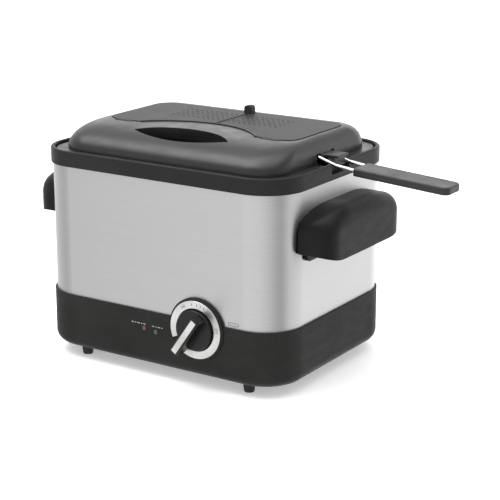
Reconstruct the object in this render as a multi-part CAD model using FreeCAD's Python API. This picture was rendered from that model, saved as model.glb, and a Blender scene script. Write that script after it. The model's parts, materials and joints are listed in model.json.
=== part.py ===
import FreeCAD, Part
import math
import os

# Compact deep fryer.  Millimetres, +Z up, origin on the table below the middle of the body,
# front face toward -Y, basket handle toward +X.

V = FreeCAD.Vector
X_AXIS = V(1, 0, 0)
Y_AXIS = V(0, 1, 0)
Z_AXIS = V(0, 0, 1)

# overall body
body_width = 239.0
body_depth = 179.0
body_radius = 34.0
foot_height = 8.5
base_top = 55.4
rim_bottom = 164.0
rim_top = 176.8
lid_top = 194.0

# clearances
slip = 0.1
past = 1.0
part_gap = 0.4
running_clearance = 0.08

# base housing and its bottom plate
base_wall = 2.8
base_edge_round = 10.0
base_floor = 6.0
floor_opening_inset = 25.5
plate_recess_inset = 19.5
plate_recess_side = 4.0
plate_corner_radius = 12.0
floor_opening_radius = 8.0
lip_root = 5.0
boss_edge_round = 0.8
shaft_hole_depth = 12.0
plate_thickness = 2.5
plate_recess_depth = 3.0
lip_height = 4.0
lip_wall = 2.1
plate_screw_inset = 23.5
plate_screw_y = 40.0
plate_boss_radius = 4.5
plate_boss_height = 13.0
screw_end_wall = 1.5
plate_screw_length = 9.0
vent_count = 7
vent_pitch = 12.0
vent_width = 4.0
vent_front = -34.0
vent_rear = -10.0

# feet
foot_inset_x = 38.0
foot_inset_y = 16.0
foot_top_radius = 5.2
foot_bottom_radius = 4.2
foot_stud_radius = 2.0
foot_stud_length = 4.0
foot_edge_round = 0.8

# screws
screw_shank_radius = 1.4
screw_head_radius = 3.0
screw_head_height = 1.8
screw_slot_width = 0.8

# steel sleeve
sleeve_inset = 1.5
sleeve_wall = 0.8
sleeve_overlap = 2.8

# rim collar
rim_radius = 34.0
rim_ridge_width = 3.6
rim_edge_round = 1.5
groove_depth = 4.0
collar_plate = 2.8
rim_opening_inset = 22.0
notch_half_width = 13.6
notch_depth = 8.3
notch_step = 1.5

# bowl
bowl_wall = 1.6
bowl_flange_width = 14.0
bowl_flange_thickness = 1.5
bowl_draft = 7.0
bowl_floor_height = 76.6
bowl_corner_radius = 24.0
bowl_corner_loss = 2.0
bowl_bottom_round = 10.0

# heating element, shield and sensing parts
element_tube_radius = 3.5
element_share_x = 0.636
element_share_y = 0.504
element_bend = 7.0
element_turn_in = 18.0
element_tail = 14.0
terminal_gap = 12.0
terminal_bottom = 46.0
shield_thickness = 0.8
shield_hole_radius = 6.5
sensor_radius = 3.0
sensor_length = 60.0
sensor_x = 12.0
fuse_radius = 2.6
fuse_length = 13.0
fuse_x = -30.0
fuse_tail = 5.0
fuse_tail_radius = 0.6
fuse_lead_y = 17.0
clip_thickness = 0.8
clip_width = 8.0
clip_foot = 5.0
tube_radius = 0.9
tube_bend = 2.5
tube_drop_y = -20.0
tube_side_step = 6.0
tube_rise = 2.0
tube_fall = 10.0

# dial
dial_x = 42.5
dial_z = 49.0
boss_radius = 25.6
boss_proud = 1.5
ring_radius = 23.8
ring_bore = 17.7
ring_thickness = 1.2
ring_seat = 0.2
ring_gap_start = 212.0
ring_gap_end = 246.0
knob_radius = 16.6
knob_disc = 3.9
knob_edge_round = 1.2
fin_width = 8.2
fin_pointer = 21.0
fin_tail = 15.0
fin_root = 1.5
fin_edge_round = 1.3
fin_height = 10.2
fin_angle = 35.0
inlay_width = 4.9
inlay_margin = 0.9
inlay_proud = 0.25
inlay_round = 0.2
inlay_depth = 1.0
shaft_radius = 3.0
shaft_flat = 2.2
shaft_front_inset = 4.0
shaft_length = 32.0
thermostat_width = 34.0
thermostat_height = 28.0
thermostat_depth = 22.0
thermostat_plate = 2.0
thermostat_collar = 2.2
thermostat_drop = 4.0
thermostat_plate_half = 28.0
shaft_flat_length = 10.0
ring_edge_round = 0.4

# indicator lights
light_red_x = -9.0
light_red_z = 40.6
light_green_x = 2.5
light_green_z = 39.2
lens_radius = 2.1
lens_flange = 3.0
lens_proud = 0.9
lens_round = 0.7
lens_flange_depth = 1.0
lens_skin = 0.9
lens_bore_depth = 2.0
lamp_radius = 2.2
lamp_length = 9.0
holder_thickness = 1.6
holder_margin = 6.0
holder_depth = 6.0
lamp_seat = 3.0
lamp_round = 1.0

# power inlet at the back
inlet_x = -58.0
inlet_z = 33.0
inlet_width = 34.0
inlet_height = 19.0
inlet_depth = 13.0
inlet_wall = 2.0
inlet_flange = 5.5
inlet_flange_thickness = 2.0
contact_spacing = 12.0
contact_radius = 1.8
contact_length = 9.0
contact_tail = 5.0
contact_round = 0.7
inlet_flange_side = 2.5
inlet_corner_round = 3.0
inlet_hole_radius = 1.12

# wiring
block_length = 30.0
block_width = 16.0
block_height = 12.0
block_x = -58.0
block_y = 30.0
block_pitch = 9.0
block_hole_height = 5.0
block_hole_depth = 5.0
block_screw_radius = 2.2
block_screw_depth = 3.0
lead_entry = 3.0
lead_bend = 3.5
supply_run = 9.0
supply_turn = 10.0
element_lead_fall = 10.0
element_lead_turn = 12.0
thermostat_lead_x = 8.0
thermostat_lead_z = 10.0
thermostat_lead_run = 12.0
thermostat_lead_turn = 14.0
fuse_lead_drop = 8.0
lead_radius = 1.3

# side handles
handle_end_inset = 27.5
handle_reach = 27.0
handle_corner = 18.0
handle_bottom = 110.0
handle_top = 148.8
handle_top_round = 13.0
handle_end_round = 8.0
handle_crown_half = 20.0
handle_crown_radius = 94.0
handle_sole_half = 34.0
handle_sole_radius = 66.0
handle_wall = 3.0
handle_plate_top = 131.0
handle_plate_drop = 2.6
handle_plate_inset = 10.0
handle_plate_corner = 4.0
handle_screw_y = 32.0
handle_screw_z = 126.0
handle_screw_length = 8.0
handle_boss_radius = 4.6
handle_boss_length = 10.0
handle_keep = 60.0
handle_sections = 25

# lid
lid_inset_x = 13.5
lid_inset_y = 11.5
lid_base_radius = 26.0
lid_draw_x = 13.0
lid_draw_front = 48.0
lid_draw_rear = 18.0
lid_draw_radius = 10.0
lid_roundness = 2.6
lid_wall = 2.4
lid_flange_width = 6.5
lid_flange_thickness = 1.8
lid_deck = 2.6
deck_grow = 1.5
recess_half_length = 46.0
recess_tip_back = 28.5
recess_back_back = 48.5
recess_front_back = 17.5
recess_floor = 180.5
recess_wall = 2.0
recess_undercut = 3.0
recess_undercut_top = 187.0
lug_half_width = 8.0
lug_inset = 7.0
lid_tab_reach = 2.0
gate_reach = 12.0
tab_root = 4.0
lug_edge_round = 0.7
lug_front_back = 1.0
lug_lift = 1.0
tab_thickness = 1.9
tab_top = 182.9
wire_gate_top = 183.2

# filter cover, its hinge and the filters
cover_side_margin = 1.5
cover_rear_margin = 3.5
cover_front_back = 51.0
cover_corner = 12.0
cover_thickness = 1.9
cover_gap = 0.5
cover_proud = 0.5
cover_arc_half = 57.0
cover_arc_depth = 25.0
barrel_radius = 1.5
barrel_inset = 27.5
barrel_length = 16.0
barrel_room = 1.2
hinge_pin_radius = 0.8
hinge_pin_extra = 2.0
tab_width = 7.5
tab_height = 6.8
tab_depth = 6.0
tab_inset = 4.5
tab_round = 2.6
bead_width = 1.6
bead_height = 0.5
bead_front_gap = 2.0
well_inset_x = 33.5
well_front_gap = 4.0
well_rear_gap = 6.5
well_depth = 11.0
well_wall = 1.8
well_floor = 1.4
well_slot_margin = 4.0
grease_thickness = 1.2
charcoal_thickness = 7.4
filter_gap = 0.6
well_slot_pitch = 9.2
well_slot_width = 5.4
liner_slot_pitch = 10.0
liner_slot_width = 5.0
grease_pitch = 6.0
grease_hole = 3.8
grease_margin = 3.0
charcoal_edge_round = 0.8
cover_slot_pitch_x = 5.1
cover_slot_pitch_y = 6.8
cover_slot_width = 1.0
cover_slot_length = 3.4
liner_bottom = 175.8
liner_thickness = 1.0
liner_inset_x = 19.0
liner_inset_y = 8.0
post_radius = 3.2
post_inset_x = 27.0
post_inset_y = 18.0
post_hole_depth = 10.0
liner_screw_length = 8.0

# basket
basket_top = 163.0
basket_bottom = 77.1
basket_clearance = 11.0
basket_bottom_clearance = 6.0
basket_sheet = 1.0
basket_corner = 20.0
basket_bend_radius = 8.0
basket_plain_low = 10.0
basket_plain_high = 8.0
basket_rim_inset = 0.5
bracket_hook = 4.0
mesh_pitch = 16.0
mesh_hole = 12.8
rim_wire_radius = 1.6
bracket_thickness = 1.6
bracket_half_width = 16.0
bracket_bottom = 138.0
handle_wire_radius = 1.6
handle_wire_y = 9.6
handle_wire_drop = 146.0
handle_wire_peak = 184.0
grip_stand_off = 18.0
grip_length = 80.8
grip_half_width = 12.4
grip_thickness = 6.2
grip_top_start = 175.6
grip_top_end = 170.2
grip_tip_radius = 6.0
wire_depth = 2.6
wire_end_gap = 12.0
wire_saddle_out = 1.5
wire_saddle_z = 175.2
wire_bend = 5.0
wire_slip = 0.02
grip_entry = 2.0
grip_edge_round = 1.4

# worked out from the values above
body_half_x = body_width / 2.0
body_half_y = body_depth / 2.0
boss_front = body_half_y + boss_proud
foot_x = body_half_x - foot_inset_x
foot_y = body_half_y - foot_inset_y
plate_screw_x = body_half_x - plate_screw_inset
sleeve_half_x = body_half_x - sleeve_inset
sleeve_half_y = body_half_y - sleeve_inset
sleeve_radius = body_radius - sleeve_inset / 2.0
sleeve_top = rim_bottom + sleeve_overlap
groove_floor = rim_top - groove_depth
collar_underside = groove_floor - collar_plate
opening_half_x = body_half_x - rim_opening_inset
opening_half_y = body_half_y - rim_opening_inset
bowl_half_x = opening_half_x
bowl_half_y = opening_half_y
bowl_top = collar_underside
bowl_underside = bowl_floor_height - bowl_wall
flange_half_x = bowl_half_x + bowl_flange_width
flange_half_y = bowl_half_y + bowl_flange_width
shield_bottom = base_top + lip_height
base_cavity_floor = foot_height + base_floor
element_half_x = bowl_half_x * element_share_x
element_half_y = bowl_half_y * element_share_y
handle_x = sleeve_half_x
handle_half_length = body_half_y - handle_end_inset
handle_plate_half = handle_half_length - handle_plate_inset
lid_base_half_x = body_half_x - lid_inset_x
lid_base_half_y = body_half_y - lid_inset_y
recess_tip_y = recess_tip_back - lid_base_half_y
recess_back_y = recess_back_back - lid_base_half_y
recess_front_y = recess_front_back - lid_base_half_y
lug_inner = body_half_x - lug_inset
lid_tab_outer = body_half_x + lid_tab_reach
cover_half_x = lid_base_half_x - lid_draw_x - cover_side_margin
cover_rear = lid_base_half_y - lid_draw_rear - cover_rear_margin
cover_front = cover_front_back - lid_base_half_y
cover_arc_back = cover_front + cover_arc_depth
barrel_start = cover_half_x - barrel_inset
tab_y = cover_rear - tab_inset
well_half_x = cover_half_x - well_inset_x
well_front = cover_arc_back + well_front_gap
well_rear = cover_rear - well_rear_gap
liner_half_x = lid_base_half_x - liner_inset_x
liner_half_y = lid_base_half_y - liner_inset_y
post_x = lid_base_half_x - post_inset_x
post_y = lid_base_half_y - post_inset_y
grip_start = body_half_x + grip_stand_off
grip_end = grip_start + grip_length
wire_saddle_x = body_half_x + wire_saddle_out
grip_slope = (grip_top_end - grip_top_start) / (grip_end - grip_start)
cover_top = lid_top + cover_proud
pocket_floor = cover_top - cover_thickness
hinge_y = cover_front - barrel_radius - cover_gap
hinge_z = cover_top - barrel_radius
basket_half_x = bowl_half_x - basket_clearance
basket_half_y = bowl_half_y - basket_clearance
basket_low_half_x = basket_half_x - basket_bottom_clearance
basket_low_half_y = basket_half_y - basket_bottom_clearance
panel_half_x = basket_low_half_x - basket_corner
panel_half_y = basket_low_half_y - basket_corner
block_hole_z = foot_height + plate_recess_depth + block_hole_height
contact_back = body_half_y - inlet_depth - contact_tail


# ---------------------------------------------------------------- shape helpers

def rounded_wire(half_x, half_y, radius, z, y_mid=0.0):
    """Closed outline of a rounded rectangle at height z."""
    r = radius
    k = r * (1.0 - math.sqrt(0.5))
    low = y_mid - half_y
    high = y_mid + half_y
    corners = [
        (V(half_x, high - r, z), V(half_x - k, high - k, z), V(half_x - r, high, z)),
        (V(-half_x + r, high, z), V(-half_x + k, high - k, z), V(-half_x, high - r, z)),
        (V(-half_x, low + r, z), V(-half_x + k, low + k, z), V(-half_x + r, low, z)),
        (V(half_x - r, low, z), V(half_x - k, low + k, z), V(half_x, low + r, z)),
    ]
    edges = []
    for i in range(4):
        edges.append(Part.Arc(*corners[i]).toShape())
        edges.append(Part.makeLine(corners[i][2], corners[(i + 1) % 4][0]))
    return Part.Wire(edges)


def rounded_prism(half_x, half_y, radius, low, high, y_mid=0.0):
    face = Part.Face(rounded_wire(half_x, half_y, radius, low, y_mid))
    return face.extrude(V(0, 0, high - low))


def box_between(x0, x1, y0, y1, z0, z1):
    return Part.makeBox(x1 - x0, y1 - y0, z1 - z0, V(x0, y0, z0))


def rod(radius, start, direction, length):
    return Part.makeCylinder(radius, length, start, direction)


def rounded_path(points, radius):
    """Path through the points, each inner corner turned with an arc of the given radius."""
    edges = []
    here = points[0]
    for i in range(1, len(points) - 1):
        before = (points[i - 1] - points[i]).normalize()
        after = (points[i + 1] - points[i]).normalize()
        angle = before.getAngle(after)
        reach = radius / math.tan(angle / 2.0)
        start = points[i] + before * reach
        end = points[i] + after * reach
        bisector = (before + after).normalize()
        centre = points[i] + bisector * (radius / math.sin(angle / 2.0))
        middle = centre - bisector * radius
        edges.append(Part.makeLine(here, start))
        edges.append(Part.Arc(start, middle, end).toShape())
        here = end
    edges.append(Part.makeLine(here, points[-1]))
    return Part.Wire(edges)


def tube_along(points, bend, radius):
    """Round wire or tube whose middle follows the path."""
    path = rounded_path(points, bend)
    direction = points[1] - points[0]
    ring = Part.Wire(Part.makeCircle(radius, points[0], direction))
    return path.makePipeShell([ring], True, True)


def loop_of_wire(half_x, half_y, corner, z, radius, y_mid=0.0):
    path = rounded_wire(half_x, half_y, corner, z, y_mid)
    ring = Part.Wire(Part.makeCircle(radius, V(half_x, y_mid + half_y - corner, z), Y_AXIS))
    return path.makePipeShell([ring], True, True)


def slotted_screw(head_at, direction, shank_length):
    """Screw with its head's outer face at head_at and its shank along the direction."""
    head = rod(screw_head_radius, head_at, direction, screw_head_height)
    shank = rod(screw_shank_radius, head_at, direction, screw_head_height + shank_length)
    side = Z_AXIS if abs(direction.z) < 0.5 else X_AXIS
    slot = Part.makeBox(screw_head_radius * 4.0, screw_slot_width, screw_slot_width)
    slot.translate(V(-screw_head_radius * 2.0, -screw_slot_width / 2.0, -screw_slot_width / 2.0))
    slot.Placement = FreeCAD.Placement(head_at, FreeCAD.Rotation(X_AXIS, side)).multiply(slot.Placement)
    return head.fuse(shank).cut(slot)


def fillet_edges(shape, radius, test):
    edges = [e for e in shape.Edges if test(e.BoundBox)]
    return shape.makeFillet(radius, edges)


def spaced(low, high, pitch):
    """Evenly pitched places centred between low and high."""
    count = int((high - low) / pitch)
    start = (low + high) / 2.0 - (count - 1) * pitch / 2.0
    return [start + i * pitch for i in range(count)]


def signs():
    return [(1, 1), (-1, 1), (-1, -1), (1, -1)]


# ---------------------------------------------------------------- base

def base_housing():
    body = rounded_prism(body_half_x, body_half_y, body_radius, foot_height, base_top)
    body = fillet_edges(body, base_edge_round, lambda b: b.ZMax < foot_height + 0.01)
    inner_x = body_half_x - base_wall
    inner_y = body_half_y - base_wall
    cavity = rounded_prism(inner_x, inner_y, body_radius - base_wall, base_cavity_floor, base_top)
    recess_x = body_half_x - plate_recess_inset
    recess_y = body_half_y - plate_recess_inset - plate_recess_side
    recess = rounded_prism(recess_x, recess_y, plate_corner_radius,
                           foot_height, foot_height + plate_recess_depth)
    open_x = body_half_x - floor_opening_inset
    open_y = body_half_y - floor_opening_inset - plate_recess_side
    opening = rounded_prism(open_x, open_y, floor_opening_radius, foot_height, base_cavity_floor)
    body = body.cut(cavity.fuse([recess, opening]))
    lip_x = sleeve_half_x - sleeve_wall - slip
    lip_y = sleeve_half_y - sleeve_wall - slip
    lip_radius = sleeve_radius - sleeve_wall
    lip = rounded_prism(lip_x, lip_y, lip_radius, base_top - lip_root, base_top + lip_height)
    hollow = rounded_prism(lip_x - lip_wall, lip_y - lip_wall, lip_radius - lip_wall,
                           base_top - lip_root, base_top + lip_height)
    body = body.fuse(lip.cut(hollow))
    boss_back = sleeve_half_y + slip
    boss = rod(boss_radius, V(dial_x, -boss_back, dial_z), -Y_AXIS, boss_front - boss_back)
    boss = fillet_edges(boss, boss_edge_round, lambda b: b.YMax < -boss_front + 0.01)
    body = body.fuse(boss)
    adds = []
    cuts = []
    for sx, sy in signs():
        at = V(sx * plate_screw_x, sy * plate_screw_y, foot_height + plate_recess_depth)
        adds.append(rod(plate_boss_radius, at, Z_AXIS, plate_boss_height))
        cuts.append(rod(screw_shank_radius + slip, at, Z_AXIS, plate_boss_height - screw_end_wall))
        stud = V(sx * foot_x, sy * foot_y, foot_height)
        cuts.append(rod(foot_stud_radius + slip / 2.0, stud, Z_AXIS, foot_stud_length + slip))
    body = body.fuse(adds)
    seat = rod(ring_radius + slip, V(dial_x, -boss_front, dial_z), Y_AXIS, ring_seat)
    seat = seat.cut(rod(ring_bore - slip, V(dial_x, -boss_front, dial_z), Y_AXIS, ring_seat))
    cuts.append(seat)
    mouth = V(dial_x, -boss_front - past, dial_z)
    cuts.append(rod(shaft_radius + part_gap, mouth, Y_AXIS, shaft_hole_depth))
    inside = V(dial_x, -body_half_y + base_wall, dial_z)
    cuts.append(rod(shaft_radius + thermostat_collar + slip, inside, Y_AXIS, lip_root))
    for x, z in ((light_red_x, light_red_z), (light_green_x, light_green_z)):
        cuts.append(rod(lens_radius + slip, V(x, -body_half_y - past, z), Y_AXIS, base_wall + 2.0 * past))
    cuts.append(box_between(inlet_x - inlet_width / 2.0 - slip, inlet_x + inlet_width / 2.0 + slip,
                            body_half_y - base_wall - past, body_half_y + past,
                            inlet_z - inlet_height / 2.0 - slip, inlet_z + inlet_height / 2.0 + slip))
    return body.cut(cuts)


def bottom_plate():
    half_x = body_half_x - plate_recess_inset - slip
    half_y = body_half_y - plate_recess_inset - plate_recess_side - slip
    low = foot_height + plate_recess_depth - plate_thickness
    plate = rounded_prism(half_x, half_y, plate_corner_radius - slip, low, low + plate_thickness)
    cuts = []
    for sx, sy in signs():
        at = V(sx * plate_screw_x, sy * plate_screw_y, low)
        cuts.append(rod(screw_shank_radius + slip, at, Z_AXIS, plate_thickness))
        cuts.append(rod(screw_head_radius + slip, at, Z_AXIS, screw_head_height - part_gap))
    for i in range(vent_count):
        x = (i - (vent_count - 1) / 2.0) * vent_pitch
        cuts.append(box_between(x - vent_width / 2.0, x + vent_width / 2.0, vent_front, vent_rear,
                                low, low + plate_thickness))
    return plate.cut(cuts)


def plate_screws():
    low = foot_height + plate_recess_depth - plate_thickness - part_gap
    parts = []
    for sx, sy in signs():
        at = V(sx * plate_screw_x, sy * plate_screw_y, low)
        parts.append(slotted_screw(at, Z_AXIS, plate_screw_length))
    return Part.makeCompound(parts)


def foot(sx, sy):
    at = V(sx * foot_x, sy * foot_y, 0)
    pad = Part.makeCone(foot_bottom_radius, foot_top_radius, foot_height, at, Z_AXIS)
    pad = fillet_edges(pad, foot_edge_round, lambda b: b.ZMax < 0.01)
    stud = rod(foot_stud_radius, at + V(0, 0, foot_height), Z_AXIS, foot_stud_length)
    return pad.fuse(stud)


def steel_sleeve():
    wall = rounded_prism(sleeve_half_x, sleeve_half_y, sleeve_radius, base_top, sleeve_top)
    inner = rounded_prism(sleeve_half_x - sleeve_wall, sleeve_half_y - sleeve_wall,
                          sleeve_radius - sleeve_wall, base_top, sleeve_top)
    cuts = [inner]
    for side in (1, -1):
        for sy in (1, -1):
            at = V(side * (sleeve_half_x - sleeve_wall - past), sy * handle_screw_y, handle_screw_z)
            cuts.append(rod(screw_shank_radius + slip, at, X_AXIS * side, sleeve_wall + 2.0 * past))
    return wall.cut(cuts)


# ---------------------------------------------------------------- rim and bowl

def rim_collar():
    body = rounded_prism(body_half_x - slip, body_half_y - slip, rim_radius, rim_bottom, rim_top)
    ridge_x = body_half_x - slip - rim_ridge_width
    ridge_y = body_half_y - slip - rim_ridge_width
    groove = rounded_prism(ridge_x, ridge_y, rim_radius - rim_ridge_width, groove_floor, rim_top)
    body = body.cut(groove)
    body = fillet_edges(body, rim_edge_round, lambda b: b.ZMin > rim_top - 0.01)
    seat = rounded_prism(sleeve_half_x + slip, sleeve_half_y + slip, sleeve_radius, rim_bottom, sleeve_top)
    pocket = rounded_prism(flange_half_x + slip, flange_half_y + slip,
                           bowl_corner_radius + bowl_flange_width, rim_bottom, collar_underside)
    hole = rounded_prism(opening_half_x, opening_half_y, bowl_corner_radius, rim_bottom, rim_top)
    notch = box_between(ridge_x - notch_step, body_half_x + past, -notch_half_width, notch_half_width,
                        rim_top - notch_depth, rim_top + past)
    return body.cut([seat, pocket, hole, notch])


def bowl():
    drop = bowl_top - bowl_floor_height
    outer_top = rounded_wire(bowl_half_x, bowl_half_y, bowl_corner_radius, bowl_top)
    outer_low = rounded_wire(bowl_half_x - bowl_draft, bowl_half_y - bowl_draft,
                             bowl_corner_radius - bowl_corner_loss, bowl_underside)
    outer = Part.makeLoft([outer_low, outer_top], True, True)
    outer = fillet_edges(outer, bowl_bottom_round + bowl_wall, lambda b: b.ZMax < bowl_underside + 0.01)
    inner_top = rounded_wire(bowl_half_x - bowl_wall, bowl_half_y - bowl_wall,
                             bowl_corner_radius - bowl_wall, bowl_top)
    low_inset = bowl_wall + bowl_draft * drop / (drop + bowl_wall)
    inner_low = rounded_wire(bowl_half_x - low_inset, bowl_half_y - low_inset,
                             bowl_corner_radius - bowl_corner_loss - bowl_wall, bowl_floor_height)
    inner = Part.makeLoft([inner_low, inner_top], True, True)
    inner = fillet_edges(inner, bowl_bottom_round, lambda b: b.ZMax < bowl_floor_height + 0.01)
    flange = rounded_prism(flange_half_x, flange_half_y, bowl_corner_radius + bowl_flange_width,
                           bowl_top - bowl_flange_thickness, bowl_top)
    return outer.fuse(flange).cut(inner)


def heating_element():
    z = bowl_underside - element_tube_radius
    left = -element_half_x - element_tail
    inner = -element_half_x + element_turn_in
    points = [
        V(left, terminal_gap, terminal_bottom),
        V(left, terminal_gap, z),
        V(inner, terminal_gap, z),
        V(inner, element_half_y, z),
        V(element_half_x, element_half_y, z),
        V(element_half_x, -element_half_y, z),
        V(inner, -element_half_y, z),
        V(inner, -terminal_gap, z),
        V(left, -terminal_gap, z),
        V(left, -terminal_gap, terminal_bottom),
    ]
    return tube_along(points, element_bend, element_tube_radius)


def shield_hole(x, y):
    return rod(shield_hole_radius, V(x, y, shield_bottom - past), Z_AXIS, shield_thickness + 2.0 * past)


def heat_shield():
    half_x = sleeve_half_x - sleeve_wall - slip
    half_y = sleeve_half_y - sleeve_wall - slip
    plate = rounded_prism(half_x, half_y, sleeve_radius - sleeve_wall - slip,
                          shield_bottom, shield_bottom + shield_thickness)
    cuts = []
    left = -element_half_x - element_tail
    for y in (terminal_gap, -terminal_gap):
        cuts.append(shield_hole(left, y))
    cuts.append(shield_hole(dial_x, tube_drop_y))
    cuts.append(shield_hole(fuse_x, fuse_lead_y))
    return plate.cut(cuts)


def sensor_bulb():
    z = bowl_underside - sensor_radius
    start = V(sensor_x - sensor_length / 2.0, 0, z)
    bulb = rod(sensor_radius, start, X_AXIS, sensor_length)
    tube = tube_along([
        V(sensor_x + sensor_length / 2.0 - past, 0, z),
        V(dial_x + tube_side_step, 0, z),
        V(dial_x + tube_side_step, tube_drop_y, z - tube_rise),
        V(dial_x, tube_drop_y, z - tube_fall),
        V(dial_x, tube_drop_y, dial_z + tube_rise),
        V(dial_x, -thermostat_back() + thermostat_depth, dial_z + tube_rise),
    ], tube_bend, tube_radius)
    return bulb.fuse(tube)


def thermal_fuse():
    z = bowl_underside - fuse_radius
    start = V(fuse_x, -fuse_length / 2.0, z)
    case = rod(fuse_radius, start, Y_AXIS, fuse_length)
    tails = rod(fuse_tail_radius, start - V(0, fuse_tail, 0), Y_AXIS, fuse_length + 2.0 * fuse_tail)
    return case.fuse(tails)


def holding_clips():
    """One bent strip over the sensing bulb and one over the fuse, both fixed to the bowl."""
    parts = []
    for x, radius, along in ((sensor_x, sensor_radius, 0), (fuse_x, fuse_radius, 1)):
        reach = radius + clip_foot
        low = bowl_underside - 2.0 * radius - clip_thickness
        half = clip_width / 2.0
        strip = box_between(-half, half, -reach, reach, bowl_underside - clip_thickness, bowl_underside)
        hump = box_between(-half, half, -radius - clip_thickness, radius + clip_thickness,
                           low, bowl_underside)
        inside = box_between(-half, half, -radius, radius, low + clip_thickness, bowl_underside)
        clip = strip.fuse(hump).cut(inside)
        clip.rotate(V(0, 0, 0), Z_AXIS, 90.0 * along)
        clip.translate(V(x, 0, 0))
        parts.append(clip)
    return Part.makeCompound(parts)


# ---------------------------------------------------------------- dial, lights, wiring

def dial_ring():
    back = boss_front - ring_seat
    at = V(dial_x, -back, dial_z)
    ring = rod(ring_radius, at, -Y_AXIS, ring_thickness)
    ring = fillet_edges(ring, ring_edge_round, lambda b: b.YMax < -back - ring_thickness + 0.01)
    hole = rod(ring_bore, at, -Y_AXIS, ring_thickness)
    return ring.cut([hole, ring_gap(back + ring_thickness + past, back - past)])


def ring_gap(front, back):
    """Wedge where the ring is open, between two angles clockwise from the top."""
    reach = ring_radius * 2.0
    points = [V(dial_x, -front, dial_z)]
    for angle in (ring_gap_start, ring_gap_end):
        turn = math.radians(angle)
        points.append(V(dial_x + reach * math.sin(turn), -front, dial_z + reach * math.cos(turn)))
    return Part.Face(Part.makePolygon(points + [points[0]])).extrude(V(0, front - back, 0))


def knob_frame(shape):
    """Turn a shape modelled along +Z (up on the dial) to the dial's resting angle."""
    shape.rotate(V(dial_x, 0, dial_z), Y_AXIS, fin_angle)
    return shape


def knob_body():
    back = boss_front + part_gap
    disc = rod(knob_radius, V(dial_x, -back, dial_z), -Y_AXIS, knob_disc)
    disc = fillet_edges(disc, knob_edge_round, lambda b: b.YMax < -back - knob_disc + 0.01)
    front = back + knob_disc + fin_height
    fin = box_between(dial_x - fin_width / 2.0, dial_x + fin_width / 2.0,
                      -front, -back - knob_disc + fin_root, dial_z - fin_pointer, dial_z + fin_tail)
    fin = fin.common(rod(fin_pointer, V(dial_x, -back, dial_z), -Y_AXIS, front - back))
    fin = fillet_edges(fin, fin_edge_round, lambda b: b.YMax < -front + 0.01)
    body = disc.fuse(knob_frame(fin))
    groove = box_between(dial_x - inlay_width / 2.0 - slip / 2.0, dial_x + inlay_width / 2.0 + slip / 2.0,
                         -front, -front + inlay_depth,
                         dial_z - fin_pointer + inlay_margin - slip / 2.0,
                         dial_z + fin_tail - inlay_margin + slip / 2.0)
    bore = rod(shaft_radius + slip / 2.0, V(dial_x, -front + shaft_front_inset, dial_z), Y_AXIS,
               fin_height + knob_disc)
    return body.cut([knob_frame(groove), bore])


def knob_inlay():
    front = boss_front + part_gap + knob_disc + fin_height
    strip = box_between(dial_x - inlay_width / 2.0, dial_x + inlay_width / 2.0,
                        -front - inlay_proud, -front + inlay_depth,
                        dial_z - fin_pointer + inlay_margin, dial_z + fin_tail - inlay_margin)
    strip = fillet_edges(strip, inlay_round, lambda b: b.YMax < -front - inlay_proud + 0.01)
    return knob_frame(strip)


def thermostat_back():
    """Distance of the front of the thermostat body behind the outer face of the base."""
    return body_half_y - base_wall - thermostat_plate


def thermostat_shaft():
    front = boss_front + part_gap + knob_disc + fin_height - shaft_front_inset
    shaft = rod(shaft_radius, V(dial_x, -front, dial_z), Y_AXIS, shaft_length)
    flat = box_between(shaft_flat, shaft_radius + past, -front, -front + shaft_flat_length,
                       -shaft_radius, shaft_radius)
    flat.translate(V(dial_x, 0, dial_z))
    return shaft.cut(knob_frame(flat))


def thermostat_body():
    front = thermostat_back()
    middle = dial_z - thermostat_drop
    box = box_between(dial_x - thermostat_width / 2.0, dial_x + thermostat_width / 2.0,
                      -front, -front + thermostat_depth,
                      middle - thermostat_height / 2.0, middle + thermostat_height / 2.0)
    collar = rod(shaft_radius + thermostat_collar, V(dial_x, -front, dial_z), -Y_AXIS, thermostat_plate)
    shaft_end = boss_front + part_gap + knob_disc + fin_height - shaft_front_inset - shaft_length
    mouth = front + thermostat_plate + past
    bore = rod(shaft_radius + running_clearance, V(dial_x, -mouth, dial_z), Y_AXIS,
               mouth - shaft_end + part_gap)
    return box.fuse(collar).cut(bore)


def thermostat_plate_part():
    front = body_half_y - base_wall
    top = base_top - lip_root - slip
    plate = box_between(dial_x - thermostat_plate_half, dial_x + thermostat_plate_half,
                        -front, -front + thermostat_plate,
                        dial_z - thermostat_height / 2.0 - thermostat_drop, top)
    hole = rod(shaft_radius + thermostat_collar + slip, V(dial_x, -front - past, dial_z), Y_AXIS,
               thermostat_plate + 2.0 * past)
    return plate.cut(hole)


def indicator_lens(x, z):
    face = body_half_y
    back = body_half_y - base_wall
    stem = rod(lens_radius, V(x, -back, z), -Y_AXIS, base_wall + lens_proud)
    stem = fillet_edges(stem, lens_round, lambda b: b.YMax < -face - lens_proud + 0.01)
    flange = rod(lens_flange, V(x, -back, z), Y_AXIS, lens_flange_depth)
    bore = rod(lens_radius - lens_skin, V(x, -back + lens_flange_depth, z), -Y_AXIS, lens_bore_depth)
    return stem.fuse(flange).cut(bore)


def lamp_front():
    return -body_half_y + base_wall + lens_flange_depth + part_gap


def indicator_lamp(x, z):
    start = lamp_front()
    glass = rod(lamp_radius, V(x, start, z), Y_AXIS, lamp_length)
    return fillet_edges(glass, lamp_round, lambda b: b.YMax < start + 0.01)


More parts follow.
